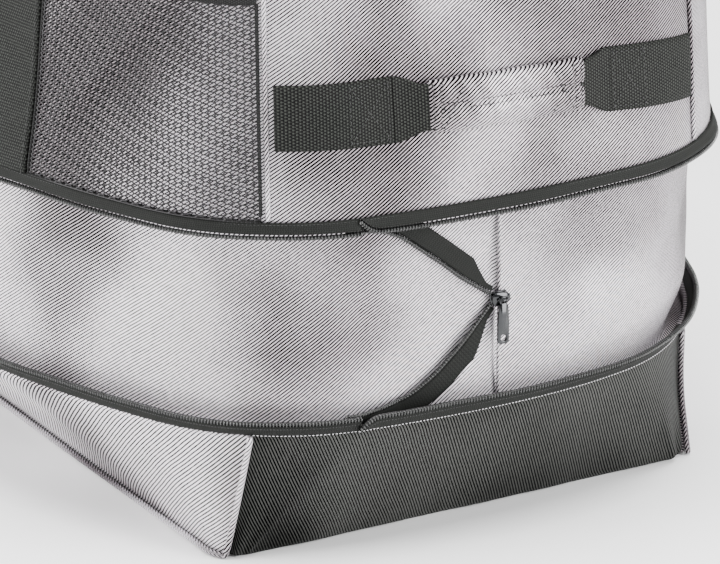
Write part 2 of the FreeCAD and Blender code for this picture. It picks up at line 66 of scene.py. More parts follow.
# Outer faces of the base's and the upper half's cloth, in millimetres out from the zip line.
FACE = -1.2
PANEL_FACE = -1.3
LONG_STITCH = (2.1 * MM, 0.6 * MM, 0.5 * MM)
Array = np.ndarray
Faces = list[tuple[int, ...]]


# ---------------------------------------------------------------- shader expressions

class Value:
    """A shader socket that grows Math nodes when it is used in an expression."""

    def __init__(self, tree: bpy.types.NodeTree, socket: bpy.types.NodeSocket) -> None:
        """Keep the tree and the output socket."""
        self.tree = tree
        self.socket = socket

    def _math(self, operation: str, other: "Value | float" = 0.0, swap: bool = False) -> "Value":
        """Add one Math node.

        Args:
            operation: the Math node's operation.
            other: the second value, a number or another Value.
            swap: put the other value first.

        Returns:
            The node's result.
        """
        node = self.tree.nodes.new("ShaderNodeMath")
        node.operation = operation
        mine, theirs = (1, 0) if swap else (0, 1)
        self.tree.links.new(self.socket, node.inputs[mine])
        if isinstance(other, Value):
            self.tree.links.new(other.socket, node.inputs[theirs])
        else:
            node.inputs[theirs].default_value = float(other)
        return Value(self.tree, node.outputs[0])

    def __add__(self, other: "Value | float") -> "Value":
        """Sum."""
        return self._math("ADD", other)

    def __sub__(self, other: "Value | float") -> "Value":
        """Difference."""
        return self._math("SUBTRACT", other)

    def __rsub__(self, other: float) -> "Value":
        """Number less this."""
        return self._math("SUBTRACT", other, swap=True)

    def __mul__(self, other: "Value | float") -> "Value":
        """Product."""
        return self._math("MULTIPLY", other)

    def __truediv__(self, other: "Value | float") -> "Value":
        """Quotient."""
        return self._math("DIVIDE", other)

    __radd__ = __add__
    __rmul__ = __mul__

    def fraction(self) -> "Value":
        """Part after the decimal point."""
        return self._math("FRACT")

    def absolute(self) -> "Value":
        """Size without its sign."""
        return self._math("ABSOLUTE")

    def sine(self) -> "Value":
        """Sine of an angle in radians."""
        return self._math("SINE")

    def cosine(self) -> "Value":
        """Cosine of an angle in radians."""
        return self._math("COSINE")

    def step(self, low: float, high: float) -> "Value":
        """Soft step from 0 at low to 1 at high."""
        node = self.tree.nodes.new("ShaderNodeMapRange")
        node.interpolation_type = "SMOOTHSTEP"
        node.inputs["From Min"].default_value = low
        node.inputs["From Max"].default_value = high
        self.tree.links.new(self.socket, node.inputs["Value"])
        return Value(self.tree, node.outputs["Result"])


class Finish:
    """One material: a Principled shader and the nodes that drive it."""

    def __init__(self, name: str, roughness: float = 0.6, metallic: float = 0.0, coat: float = 0.0,
                 specular: float = 0.5) -> None:
        """Make the material.

        Args:
            name: the material's name.
            roughness: base roughness.
            metallic: base metallic value.
            coat: clear coat weight.
            specular: specular level.
        """
        self.material = bpy.data.materials.new(name)
        self.material.use_nodes = True
        self.tree = self.material.node_tree
        self.shader = self.tree.nodes["Principled BSDF"]
        for socket, value in (("Roughness", roughness), ("Metallic", metallic), ("Coat Weight", coat),
                              ("Specular IOR Level", specular)):
            self.shader.inputs[socket].default_value = value

    def node(self, kind: str, **sockets: object) -> bpy.types.Node:
        """Add any node.

        Args:
            kind: the node's type.
            sockets: values or links, with _ for spaces in the socket's name.

        Returns:
            The new node.
        """
        made = self.tree.nodes.new(kind)
        for key, value in sockets.items():
            socket = made.inputs[key.replace("_", " ")]
            if isinstance(value, Value):
                self.tree.links.new(value.socket, socket)
            elif isinstance(value, bpy.types.NodeSocket):
                self.tree.links.new(value, socket)
            else:
                socket.default_value = value
        return made

    def uv(self) -> tuple[Value, Value]:
        """Cloth coordinates in millimetres: along the piece, and up it."""
        coordinates = self.node("ShaderNodeTexCoord")
        split = self.node("ShaderNodeSeparateXYZ", Vector=coordinates.outputs["UV"])
        return (Value(self.tree, split.outputs[0]) * (1 / MM), Value(self.tree, split.outputs[1]) * (1 / MM))

    def noise(self, scale: float, detail: float = 3.0, source: str = "Object") -> Value:
        """Noise from 0 to 1, by object or cloth coordinates, with scale per metre."""
        coordinates = self.node("ShaderNodeTexCoord")
        made = self.node("ShaderNodeTexNoise", Vector=coordinates.outputs[source], Scale=scale,
                         Detail=detail)
        return Value(self.tree, made.outputs["Fac"])

    def mix(self, share: Value, low: Sequence[float] | bpy.types.NodeSocket,
            high: Sequence[float] | bpy.types.NodeSocket) -> bpy.types.NodeSocket:
        """Blend two colours by a share from 0 to 1."""
        made = self.tree.nodes.new("ShaderNodeMix")
        made.data_type = "RGBA"
        self.tree.links.new(share.socket, made.inputs[0])
        for socket, colour in ((made.inputs[6], low), (made.inputs[7], high)):
            if isinstance(colour, bpy.types.NodeSocket):
                self.tree.links.new(colour, socket)
            else:
                socket.default_value = (*colour, 1.0)
        return made.outputs[2]

    def colour(self, source: bpy.types.NodeSocket | Sequence[float]) -> None:
        """Set or link the base colour."""
        if isinstance(source, bpy.types.NodeSocket):
            self.tree.links.new(source, self.shader.inputs["Base Color"])
        else:
            self.shader.inputs["Base Color"].default_value = (*source, 1.0)

    def drive(self, socket: str, value: Value) -> None:
        """Link a value to one of the shader's sockets."""
        self.tree.links.new(value.socket, self.shader.inputs[socket])

    def bump(self, height: Value, distance: float, strength: float = 1.0) -> None:
        """Raise the surface by a height from 0 to 1 times a distance in metres."""
        made = self.node("ShaderNodeBump", Height=height, Distance=distance, Strength=strength)
        self.tree.links.new(made.outputs["Normal"], self.shader.inputs["Normal"])


@dataclass(frozen=True)
class Twill:
    """Coated twill with light ribs on a dark ground, under painted bands and patches of sheen and shade."""

    name: str
    rib: tuple[float, float, float]
    ground: tuple[float, float, float]
    # Colour of the ribs where painted shade falls on them.
    shade: tuple[float, float, float]
    pitch: float
    slant: float
    share: float = 0.55
    roughness: float = 0.42
    metallic: float = 0.0
    specular: float = 0.4
    # Painted sheen and shade: length, start and weight of its bands along the cloth, weight and bias of its
    # patches, their wander, and how far they widen or narrow the ribs.
    painted_band: float = 142.7
    painted_band_start: float = 0.7
    painted_band_weight: float = 0.34
    painted_patch_weight: float = 1.7
    painted_patch_bias: float = 0.62
    drift: float = 7.0
    painted_shading_swing: float = 0.26

    def material(self) -> bpy.types.Material:
        """Build the finish.

        Returns:
            The material, whose ribs follow the cloth coordinates.
        """
        finish = Finish(self.name, roughness=self.roughness, metallic=self.metallic, specular=self.specular)
        along, up = finish.uv()
        angle = math.radians(self.slant)
        across = along * math.sin(angle) - up * math.cos(angle)
        ripple = finish.noise(45.0, 2.0, "UV") * 0.5
        phase = (across / self.pitch + ripple).fraction()
        # Painted sheen and shade: bands along the cloth plus large patches, dark where shade is painted and
        # light where sheen is painted.
        drift = (finish.noise(5.0, 2.0) - 0.5) * self.drift
        run = along * (2 * math.pi / self.painted_band) + self.painted_band_start * 2 * math.pi + drift
        painted_band = 0.5 - 0.5 * run.cosine()
        painted_patches = finish.noise(6.0, 3.0) * self.painted_patch_weight
        painted_sheen_and_shade = (painted_band * self.painted_band_weight + painted_patches - self.painted_patch_bias).step(0.1, 0.7)
        fine = finish.noise(450.0, 2.0)
        # The painted sheen and shade also widen the ribs where it is light and narrow them where it is dark.
        ridge = 1 - (phase - 0.5).absolute() * 2 + (painted_sheen_and_shade - 0.5) * self.painted_shading_swing + (fine - 0.5) * 0.2
        rib = ridge.step(0.93 - self.share, 1.07 - self.share)
        # Rib colour runs from the painted shade colour to the plain rib colour, which stands for painted
        # sheen.
        light = finish.mix(painted_sheen_and_shade, self.shade, self.rib)
        finish.colour(finish.mix(rib * (0.82 + 0.3 * fine), self.ground, light))
        finish.drive("Roughness", self.roughness + 0.25 * (1 - rib))
        finish.drive("Metallic", 1 - rib * (1 - self.metallic))
        finish.bump(rib, 0.12 * MM, 0.7)
        return finish.material


@dataclass(frozen=True)
class Webbing:
    """Heavy woven webbing, ribbed across its length."""

    name: str
    colour: tuple[float, float, float]
    light: tuple[float, float, float]
    pitch: float = 1.9
    up_is_length: bool = False

    def material(self) -> bpy.types.Material:
        """Build the finish.

        Returns:
            The material, with its length along the cloth's first or second coordinate.
        """
        finish = Finish(self.name, roughness=0.7, specular=0.12)
        along, up = finish.uv()
        if self.up_is_length:
            along, up = up, along
        rank = along / self.pitch
        pick = (rank * (2 * math.pi)).sine() * 0.5 + 0.5
        stagger = (rank * 0.5).fraction().step(0.49, 0.51) * math.pi
        warp = (up * (2 * math.pi / (self.pitch * 1.05)) + stagger).sine() * 0.5 + 0.5
        fine = finish.noise(500.0, 2.0)
        weave = (pick * 0.45 + warp * 0.55 + (fine - 0.5) * 0.3).step(0.4, 0.85)
        finish.colour(finish.mix(weave, self.colour, self.light))
        finish.bump(weave, 0.25 * MM, 0.8)
        return finish.material


@dataclass(frozen=True)
class Plain:
    """Moulded, woven or plated surface with fine grain."""

    name: str
    colour: tuple[float, float, float]
    light: tuple[float, float, float]
    roughness: float
    metallic: float = 0.0
    coat: float = 0.0
    grain: float = 600.0
    depth: float = 0.03

    def material(self) -> bpy.types.Material:
        """Build the finish.

        Returns:
            The material.
        """
        finish = Finish(self.name, roughness=self.roughness, metallic=self.metallic, coat=self.coat)
        fine = finish.noise(self.grain, 3.0)
        wear = finish.noise(60.0, 4.0).step(0.45, 0.75)
        finish.colour(finish.mix(fine * 0.6 + wear * 0.4, self.colour, self.light))
        finish.drive("Roughness", self.roughness + 0.12 * (wear - 0.5))
        finish.bump(fine, self.depth * MM, 0.6)
        return finish.material


@dataclass(frozen=True)
class TapeCloth:
    """Close-woven zip tape with a herringbone rib."""

    name: str
    colour: tuple[float, float, float]
    light: tuple[float, float, float]

    def material(self) -> bpy.types.Material:
        """Build the finish.

        Returns:
            The material.
        """
        finish = Finish(self.name, roughness=0.75, specular=0.12)
        along, up = finish.uv()
        lean = (up / 1.8).fraction() - 0.5
        chevron = (along * 5.2 + lean.absolute() * 6.0).sine() * 0.5 + 0.5
        row = (up * (2 * math.pi / 0.9)).sine() * 0.5 + 0.5
        fine = finish.noise(800.0, 2.0)
        weave = chevron * 0.6 + row * 0.4
        finish.colour(finish.mix(weave * (0.5 + fine), self.colour, self.light))
        finish.bump(weave, 0.12 * MM, 0.7)
        return finish.material


class Slot(Enum):
    """Finishes, named as the record's material slots."""

    GREY = "grey_twill"
    BLACK = "black_twill"
    TAPE = "zip_tape"
    COIL = "zip_coil"
    WEBBING = "webbing"
    NET = "net"
    ELASTIC = "elastic"
    METAL = "dark_metal"
    BOARD = "board"


class Look(Enum):
    """Variants of a finish, each with its slot."""

    GREY = ("grey", Slot.GREY)
    BLACK = ("black", Slot.BLACK)
    TAPE = ("tape", Slot.TAPE)
    COIL = ("coil", Slot.COIL)
    CORE = ("core", Slot.COIL)
    WEB_FLAT = ("web_flat", Slot.WEBBING)
    WEB_UP = ("web_up", Slot.WEBBING)
    NET = ("net", Slot.NET)
    ELASTIC = ("elastic", Slot.ELASTIC)
    METAL = ("metal", Slot.METAL)
    BOARD = ("board", Slot.BOARD)
    THREAD_DARK = ("thread_dark", Slot.WEBBING)
    THREAD_LIGHT = ("thread_light", Slot.GREY)

    @property
    def slot(self) -> str:
        """Name of the record's material slot."""
        return self.value[1].value


class Wardrobe:
    """All finishes, made once."""

    def __init__(self) -> None:
        """Make every material."""
        black = (0.001, 0.001, 0.001)
        web = (0.030, 0.0325, 0.0285)
        finishes = {
            Look.GREY: Twill("grey_twill", rib=(0.74, 0.698, 0.738), ground=(0.002, 0.0014, 0.0018),
                             shade=(0.27, 0.235, 0.252), pitch=1.5, slant=35.0, share=0.5, roughness=0.36,
                             metallic=0.3),
            Look.BLACK: Twill("black_twill", rib=(0.050, 0.051, 0.048), ground=black,
                              shade=(0.019, 0.0195, 0.018), pitch=1.4, slant=119.0, share=0.47,
                              roughness=0.5, specular=0.1),
            Look.TAPE: TapeCloth("zip_tape", (0.003, 0.0033, 0.003), (0.015, 0.016, 0.0145)),
            Look.COIL: Plain("zip_coil", (0.006, 0.0063, 0.006), (0.034, 0.036, 0.034), 0.32, coat=0.25),
            Look.CORE: Plain("zip_core", (0.002, 0.002, 0.002), (0.006, 0.006, 0.006), 0.6),
            Look.WEB_FLAT: Webbing("webbing_flat", black, web, 1.55),
            Look.WEB_UP: Webbing("webbing_up", black, web, 1.55, up_is_length=True),
            Look.NET: Plain("net", (0.006, 0.005, 0.006), (0.028, 0.025, 0.028), 0.6),
            Look.ELASTIC: Webbing("elastic", (0.004, 0.004, 0.004), (0.03, 0.03, 0.03), 1.1),
            Look.METAL: Plain("dark_metal", (0.012, 0.0124, 0.0135), (0.04, 0.042, 0.045), 0.24,
                              metallic=0.8, coat=0.3, grain=250.0, depth=0.01),
            Look.BOARD: Plain("board", (0.03, 0.03, 0.032), (0.06, 0.06, 0.065), 0.6),
            Look.THREAD_DARK: Plain("thread_dark", (0.004, 0.004, 0.004), (0.02, 0.02, 0.02), 0.6),
            Look.THREAD_LIGHT: Plain("thread_light", (0.62, 0.6, 0.62), (0.8, 0.78, 0.8), 0.6),
        }
        self.looks = {look: finish.material() for look, finish in finishes.items()}

    def dress(self, piece: bpy.types.Object, look: Look) -> None:
        """Give a piece its finish."""
        piece.data.materials.clear()
        piece.data.materials.append(self.looks[look])
        look.slot


# ---------------------------------------------------------------- shared geometry

def spread(first: float, last: float, count: int) -> Array:
    """Evenly spaced numbers."""
    return np.linspace(first, last, count)


def bell(distance: Array, width: float) -> Array:
    """Smooth hump of height 1."""
    return np.exp(-(np.asarray(distance) / width) ** 2)


def pairs(first: Array, second: Array) -> Array:
    """Grid of pairs from two arrays that broadcast together."""
    return np.stack(np.broadcast_arrays(first, second), -1)


def turns_of(sides: int) -> Array:
    """Angles of a polygon's corners, in radians."""
    return np.linspace(0, 2 * math.pi, sides, endpoint=False)


def travelled(path: Array) -> Array:
    """Distance run at each point of a path."""
    return np.concatenate([[0.0], np.cumsum(np.linalg.norm(np.diff(path, axis=0), axis=1))])


def directions(path: Array) -> Array:
    """Unit direction at each point of an open path."""
    run = np.gradient(path, axis=0)
    return run / np.linalg.norm(run, axis=1)[:, None]


def squarer(wave: Array, power: float) -> Array:
    """Wave from -1 to 1, made squarer by a power below 1."""
    return np.sign(wave) * np.abs(wave) ** power


def ring_faces(count: int, sides: int, closed: bool) -> Faces:
    """Faces between rings of points, with two end faces unless the row of rings is closed."""
    faces = []
    for i in range(count if closed else count - 1):
        here, there = i * sides, (i + 1) % count * sides
        faces += [(here + k, here + (k + 1) % sides, there + (k + 1) % sides, there + k)
                  for k in range(sides)]
    if not closed:
        faces.append(tuple(range(sides))[::-1])
        faces.append(tuple((count - 1) * sides + k for k in range(sides)))
    return faces


def lofted(levels: Sequence[tuple[Array, float]], closed: bool) -> tuple[Array, Faces]:
    """Solid between flat outlines, each given with its height."""
    rings = [np.column_stack([shape, np.full(len(shape), height)]) for shape, height in levels]
    return np.concatenate(rings), ring_faces(len(levels), len(levels[0][0]), closed)


def tidy_normals(piece: bpy.types.Object) -> None:
    """Point a closed mesh's faces outwards."""
    work = bmesh.new()
    work.from_mesh(piece.data)
    bmesh.ops.recalc_face_normals(work, faces=work.faces)
    work.to_mesh(piece.data)
    work.free()


def round_wire(path: Array, radius: float, sides: int, closed: bool,
               helper: tuple[float, float, float]) -> tuple[Array, Faces]:
    """Round wire along a path.

    Args:
        path: its middle line.
        radius: its radius.
        sides: corners of its section.
        closed: the path joins up.
        helper: a direction that the path never takes.

    Returns:
        The points and faces.
    """
    ahead = np.roll(path, -1, 0) - np.roll(path, 1, 0)
    if not closed:
        ahead[0], ahead[-1] = path[1] - path[0], path[-1] - path[-2]
    ahead /= np.linalg.norm(ahead, axis=1)[:, None]
    normal = np.cross(ahead, np.array(helper))
    normal /= np.linalg.norm(normal, axis=1)[:, None]
    second = np.cross(ahead, normal)
    turns = turns_of(sides)[None, :, None]
    spokes = np.cos(turns) * normal[:, None, :] + np.sin(turns) * second[:, None, :]
    rings = path[:, None, :] + radius * spokes
    return rings.reshape(-1, 3), ring_faces(len(path), sides, closed)


# ---------------------------------------------------------------- the bag's surface

@dataclass(frozen=True)
class Ring:
    """Level outline of four bowed sides and four corner arcs, in metres and radians."""

    half_x: float
    half_y: float
    corner: float
    end_bow: float
    side_bow: float


def ring_mm(half_x: float, half_y: float, corner: float, end_bow: float, side_bow: float) -> Ring:
    """Ring from millimetres and degrees."""
    return Ring(half_x * MM, half_y * MM, corner * MM, math.radians(end_bow), math.radians(side_bow))


@dataclass
class BagSurface:
    """The bag's outside as a function of place round it, level and offset."""

    floor: Ring = ring_mm(265, 138, 17, 0.6, 0.6)
    zip_line: Ring = ring_mm(298, 171, 109, 7.5, 24.6)
    rim: Ring = ring_mm(284, 153, 89, 7.5, 17.2)
    foot: float = 4 * MM
    skin: float = 1.2 * MM
    seam_turn: float = math.radians(33)
    base_seam_turn: float = math.radians(38)
    tuck: float = 10 * MM
    tuck_lift: float = 6 * MM
    tuck_centre: float = 0.85
    tuck_width: float = 0.045
    low: float = field(init=False)
    high: float = field(init=False)
    top: float = field(init=False)
    shares: tuple[float, float] = field(init=False)
    quarter: float = field(init=False)

    def __post_init__(self) -> None:
        """Read the levels from the frame and work out the arc lengths."""
        self.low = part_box("gusset")[0].z
        self.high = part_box("front_panel")[0].z
        self.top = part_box("front_panel")[1].z
        ring = self.zip_line
        centre_x, centre_y = ring.half_x - ring.corner, ring.half_y - ring.corner
        end = (ring.corner + centre_y / math.sin(ring.end_bow)) * ring.end_bow
        bend = ring.corner * (math.pi / 2 - ring.end_bow - ring.side_bow)
        side = (ring.corner + centre_x / math.sin(ring.side_bow)) * ring.side_bow
        self.quarter = end + bend + side
        self.shares = (end / self.quarter, bend / self.quarter)

    def seam(self, name: str, base: bool = False) -> float:
        """Place round the bag of a corner seam, from 0 at the right end's middle, towards the back."""
        ring = self.zip_line
        bend = math.pi / 2 - ring.end_bow - ring.side_bow
        angle = (self.base_seam_turn if base else self.seam_turn) - ring.end_bow
        share = (self.shares[0] + self.shares[1] * angle / bend) / 4
        return {"back_right": share, "back_left": 0.5 - share, "front_left": 0.5 + share,
                "front_right": 1.0 - share}[name]

    def flat(self, ring: Ring, place: Array, offset: Array) -> tuple[Array, Array]:
        """Points and outward normals of a ring.

        Args:
            ring: the outline.
            place: places round it, one turn being 1.
            offset: distance outwards, in metres.

        Returns:
            Two arrays whose last axis holds X and Y.
        """
        turn = np.mod(place, 1.0) * 4
        sector = np.minimum(np.floor(turn), 3)
        within = turn - sector
        share = np.where(sector % 2 == 0, within, 1 - within)
        centre_x, centre_y = ring.half_x - ring.corner, ring.half_y - ring.corner
        first, bend = self.shares
        radius = ring.corner + offset
        end_angle = ring.end_bow * share / first
        end_radius = radius + centre_y / math.sin(ring.end_bow)
        bend_angle = ring.end_bow + (math.pi / 2 - ring.end_bow - ring.side_bow) * (share - first) / bend
        side_angle = ring.side_bow * (1 - share) / (1 - first - bend)
        side_radius = radius + centre_x / math.sin(ring.side_bow)
        on_end, on_bend = share < first, share < first + bend
        angle = np.where(on_end, end_angle, np.where(on_bend, bend_angle, math.pi / 2 - side_angle))
        bend_x, bend_y = centre_x + radius * np.cos(bend_angle), centre_y + radius * np.sin(bend_angle)
        end_x = centre_x - centre_y / math.tan(ring.end_bow) + end_radius * np.cos(end_angle)
        side_y = centre_y - centre_x / math.tan(ring.side_bow) + side_radius * np.cos(side_angle)
        x = np.where(on_end, end_x, np.where(on_bend, bend_x, side_radius * np.sin(side_angle)))
        y = np.where(on_end, end_radius * np.sin(end_angle), np.where(on_bend, bend_y, side_y))
        sign_x = np.where((sector == 0) | (sector == 3), 1.0, -1.0)
        sign_y = np.where(sector < 2, 1.0, -1.0)
        points = np.stack([x * sign_x, y * sign_y], -1)
        normals = np.stack([np.cos(angle) * sign_x, np.sin(angle) * sign_y], -1)
        return points, normals

    def swell(self, place: Array, level: Array) -> Array:
        """Gentle unevenness of the stuffed cloth, in metres outwards."""
        round_it = 2 * math.pi * place
        above = np.clip((level - self.high - 6 * MM) / (50 * MM), 0, 1)
        waves = 1.3 * np.sin(5 * round_it + 1.1 + 14 * level) + 0.9 * np.sin(11 * round_it - 23 * level)
        upper = above * (waves + 0.5 * np.sin(23 * round_it + 41 * level)) * MM
        below = np.sin(math.pi * np.clip((level - self.foot) / (self.low - self.foot), 0, 1))
        waves = 1.6 * np.sin(7 * round_it + 0.4) + 0.8 * np.sin(19 * round_it + 30 * level) - 1.0
        lower = below * waves * MM
        return np.where(level > self.high, upper, np.where(level < self.low, lower, 0.0))

    def at(self, place: Array, level: Array, offset: Array) -> Array:
        """Points on the bag.

        Args:
            place: places round the bag, one turn being 1.
            level: heights, in metres.
            offset: distances outside the zip tapes' outer line, in metres.

        Returns:
            An array whose last axis holds X, Y and Z.
        """
        place, level, offset = np.broadcast_arrays(np.asarray(place, float), np.asarray(level, float),
                                                   np.asarray(offset, float))
        tuck = self.tuck_at(place, level)
        bumps = self.swell(place, level) - self.tuck * tuck
        zip_points, zip_normals = self.flat(self.zip_line, place, offset)
        rim_points, _ = self.flat(self.rim, place, offset)
        floor_points, _ = self.flat(self.floor, place, offset + self.skin)
        up = np.clip((level - self.high) / (self.top - self.high), 0, 1.2)[..., None]
        down = np.clip((self.low - level) / (self.low - self.foot), 0, 1)[..., None]
        points = zip_points + up * (rim_points - zip_points) + down * (floor_points - zip_points)
        points = points + zip_normals * bumps[..., None]
        return np.concatenate([points, (level + self.tuck_lift * tuck)[..., None]], -1)

    def tuck_at(self, place: Array, level: Array) -> Array:
        """Share of the pull that draws the lower zip in at the back right corner."""
        centre = (self.shares[0] + self.tuck_centre * self.shares[1]) / 4
        near = bell(np.mod(place + 0.5, 1.0) - 0.5 - centre, self.tuck_width)
        above = np.clip((self.low + 38 * MM - level) / (34 * MM), 0, 1)
        return near * np.minimum(above, np.clip(level / self.low, 0, 1)) ** 1.5

    def _place_where(self, axis: int, value: float, level: float, places: Array) -> float:
        """The one of some places at which X (axis 0) or Y (axis 1) has a value."""
        points = self.at(places, level, 0.0)[:, axis]
        order = np.argsort(points)
        return float(np.interp(value, points[order], places[order]))

    def place_of_x(self, x: float, level: float, side: int) -> float:
        """Place round the bag where a long side (front -1, back +1) has a given X."""
        low, high = (0.5, 1.0) if side < 0 else (0.0, 0.5)
        return self._place_where(0, x, level, spread(low + 1e-6, high - 1e-6, 1600))

    def place_of_y(self, y: float, level: float, end: int) -> float:
        """Place round the bag where an end (right +1, left -1) has a given Y."""
        return self._place_where(1, y, level, spread(-0.2, 0.2, 1200) + (0.0 if end > 0 else 0.5))

    def length(self, place: Array) -> Array:
        """Cloth length round the zip line, in metres."""
        return np.asarray(place) * 4 * self.quarter


# ---------------------------------------------------------------- mesh building

class Maker:
    """Turns grids of points into closed meshes that ride on a body."""

    def __init__(self, wardrobe: Wardrobe, surface: BagSurface) -> None:
        """Keep the finishes and the bag's surface."""
        self.wardrobe = wardrobe
        self.surface = surface

    def finish(self, name: str, points: Array, faces: Faces, uvs: Array | None, look: Look,
               body: str, nodes: Iterable[str] = (), wrap: float = 0.0) -> bpy.types.Object:
        """Make the object.

        Args:
            name: the piece's name.
            points: vertex positions, in metres.
            faces: vertex indices of each face.
            uvs: one pair of cloth coordinates for each vertex, in metres.
            look: its finish.
            body: the body it rides on.
            nodes: CAD nodes that it stands for.
            wrap: cloth length after which the pattern repeats, for a loop of quads.

        Returns:
            The object.
        """
        mesh = bpy.data.meshes.new(name)
        mesh.from_pydata([tuple(map(float, p)) for p in points], [], faces)
        if uvs is not None:
            layer = mesh.uv_layers.new(name="cloth")
            corner = np.zeros(len(mesh.loops), np.int32)
            mesh.loops.foreach_get("vertex_index", corner)
            spread_uv = np.asarray(uvs, float)[corner]
            if wrap:
                quads = spread_uv.reshape(-1, 4, 2)
                across = quads[..., 0].max(1) - quads[..., 0].min(1) > wrap / 2
                quads[across, :, 0] += np.where(quads[across, :, 0] < wrap / 2, wrap, 0.0)
            layer.data.foreach_set("uv", spread_uv.astype(np.float32).ravel())
        mesh.validate()
        mesh.update()
        for polygon in mesh.polygons:
            polygon.use_smooth = True
        piece = bpy.data.objects.new(name, mesh)
        bpy.context.scene.collection.objects.link(piece)
        return self.place(piece, look, body, nodes)

    def place(self, piece: bpy.types.Object, look: Look, body: str,
              nodes: Iterable[str] = ()) -> bpy.types.Object:
        """Dress a piece, put it on its body and hide the CAD nodes that it stands for."""
        self.wardrobe.dress(piece, look)
        if body:
            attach(piece, body)
        named = list(nodes)
        if named:
            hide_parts(*named)
        LOG.info("%s: %d faces", piece.name, len(piece.data.polygons))
        return piece

    def slab(self, name: str, outer: Array, inner: Array, uvs: Array, look: Look, body: str,
             nodes: Iterable[str] = (), closed: bool = False) -> bpy.types.Object:
        """Closed sheet between two grids of points.

        Args:
            name: the piece's name.
            outer: grid of outer points; the first axis runs round the bag, the second up.
            inner: the same grid on the inside.
            uvs: the grid's cloth coordinates.
            look: its finish.
            body: its body.
            nodes: CAD nodes that it stands for.
            closed: the first axis runs all the way round.

        Returns:
            The object.
        """
        columns, rows = outer.shape[:2]
        count = columns * rows
        spans = columns if closed else columns - 1
        faces = []
        for i in range(spans):
            j = (i + 1) % columns
            for k in range(rows - 1):
                a, b, c, d = i * rows + k, j * rows + k, j * rows + k + 1, i * rows + k + 1
                faces.append((a, b, c, d))
                faces.append((count + d, count + c, count + b, count + a))
            for k, flip in ((0, False), (rows - 1, True)):
                a, b = i * rows + k, j * rows + k
                quad = (a, count + a, count + b, b)
                faces.append(tuple(reversed(quad)) if flip else quad)
        if not closed:
            for i, flip in ((0, True), (columns - 1, False)):
                for k in range(rows - 1):
                    a, b = i * rows + k, i * rows + k + 1
                    quad = (a, count + a, count + b, b)
                    faces.append(tuple(reversed(quad)) if flip else quad)
        points = np.concatenate([outer.reshape(-1, 3), inner.reshape(-1, 3)])
        flat = uvs.reshape(-1, 2)
        wrap = float(self.surface.length(1.0)) if closed else 0.0
        return self.finish(name, points, faces, np.concatenate([flat, flat]), look, body, nodes, wrap)

    def tube(self, name: str, path: Array, radius: float, look: Look, body: str, nodes: Iterable[str] = (),
             sides: int = 10, closed: bool = False) -> bpy.types.Object:
        """Round cord along a path of points."""
        points, faces = round_wire(path, radius, sides, closed, (0.13, 0.29, 0.95))
        uvs = pairs(travelled(path)[:, None], (turns_of(sides) * radius)[None, :])
        return self.finish(name, points, faces, uvs.reshape(-1, 2), look, body, nodes)


    def sleeve(self, name: str, rings: Array, uvs: Array, body: str, node: str) -> None:
        """Padded grey sleeve, closed at both ends.

        Args:
            name: the piece's name.
            rings: points by ring and place round it.
            uvs: their cloth coordinates.
            body: its body.
            node: the CAD node that it stands for.
        """
        count, sides = rings.shape[:2]
        faces = [(i * sides + k, (i + 1) * sides + k, (i + 1) * sides + (k + 1) % sides,
                  i * sides + (k + 1) % sides) for i in range(count - 1) for k in range(sides)]
        faces.append(tuple(range(sides)))
        faces.append(tuple((count - 1) * sides + k for k in range(sides))[::-1])
        piece = self.finish(name, rings.reshape(-1, 3), faces, uvs.reshape(-1, 2), Look.GREY, body, [node])
        tidy_normals(piece)


# ---------------------------------------------------------------- repeated small pieces

class RepeatTree:
    """Geometry Nodes tree whose result is realized and given a finish."""

    def __init__(self, name: str, inputs: dict[str, str]) -> None:
        """Start the tree.

        Args:
            name: the tree's name.
            inputs: socket types by the names of its inputs, geometry and finish apart.
        """
        self.tree = bpy.data.node_groups.new(name, "GeometryNodeTree")
        face = self.tree.interface
        face.new_socket("Geometry", in_out="INPUT", socket_type="NodeSocketGeometry")
        named = {**inputs, "Finish": "NodeSocketMaterial"}
        self.inputs = {label: face.new_socket(label, in_out="INPUT", socket_type=kind).identifier
                       for label, kind in named.items()}
        face.new_socket("Geometry", in_out="OUTPUT", socket_type="NodeSocketGeometry")
        self.entry = self.tree.nodes.new("NodeGroupInput")

    def add(self, kind: str, **values: object) -> bpy.types.Node:
        """Add a node and set its input values."""
        made = self.tree.nodes.new(kind)
        for name, value in values.items():
            made.inputs[name.replace("_", " ")].default_value = value
        return made

    def link(self, *wires: tuple[bpy.types.Node, str, bpy.types.Node, str]) -> None:
        """Link an output of one node to an input of another, for each wire."""
        for source, plug, target, socket in wires:
            self.tree.links.new(source.outputs[plug], target.inputs[socket])

    def end(self, last: bpy.types.Node, plug: str) -> None:
        """Realize what a node gives, set its finish and pass it out."""
        real, painted = self.add("GeometryNodeRealizeInstances"), self.add("GeometryNodeSetMaterial")
        self.link((last, plug, real, "Geometry"), (real, "Geometry", painted, "Geometry"),
                  (self.entry, "Finish", painted, "Material"),
                  (painted, "Geometry", self.add("NodeGroupOutput"), "Geometry"))


def bead_tree() -> RepeatTree:
    """Tree that sets a small bead along a line at a fixed pitch."""
    tree = RepeatTree("beads_along_line", {"Pitch": "NodeSocketFloat", "Bead Size": "NodeSocketVector"})
    curve, spaced = tree.add("GeometryNodeMeshToCurve"), tree.add("GeometryNodeResampleCurve")
    spaced.mode = "LENGTH"
    tangent, turned = tree.add("GeometryNodeInputTangent"), tree.add("FunctionNodeAlignRotationToVector")
    turned.axis = "X"
    bead = tree.add("GeometryNodeMeshUVSphere", Segments=6, Rings=4, Radius=0.5)
    placed = tree.add("GeometryNodeInstanceOnPoints")
    tree.link((tree.entry, "Geometry", curve, "Mesh"), (curve, "Curve", spaced, "Curve"),
              (tree.entry, "Pitch", spaced, "Length"), (spaced, "Curve", placed, "Points"),
              (tangent, "Tangent", turned, "Vector"), (turned, "Rotation", placed, "Rotation"),
              (bead, "Mesh", placed, "Instance"), (tree.entry, "Bead Size", placed, "Scale"))
    tree.end(placed, "Instances")
    return tree


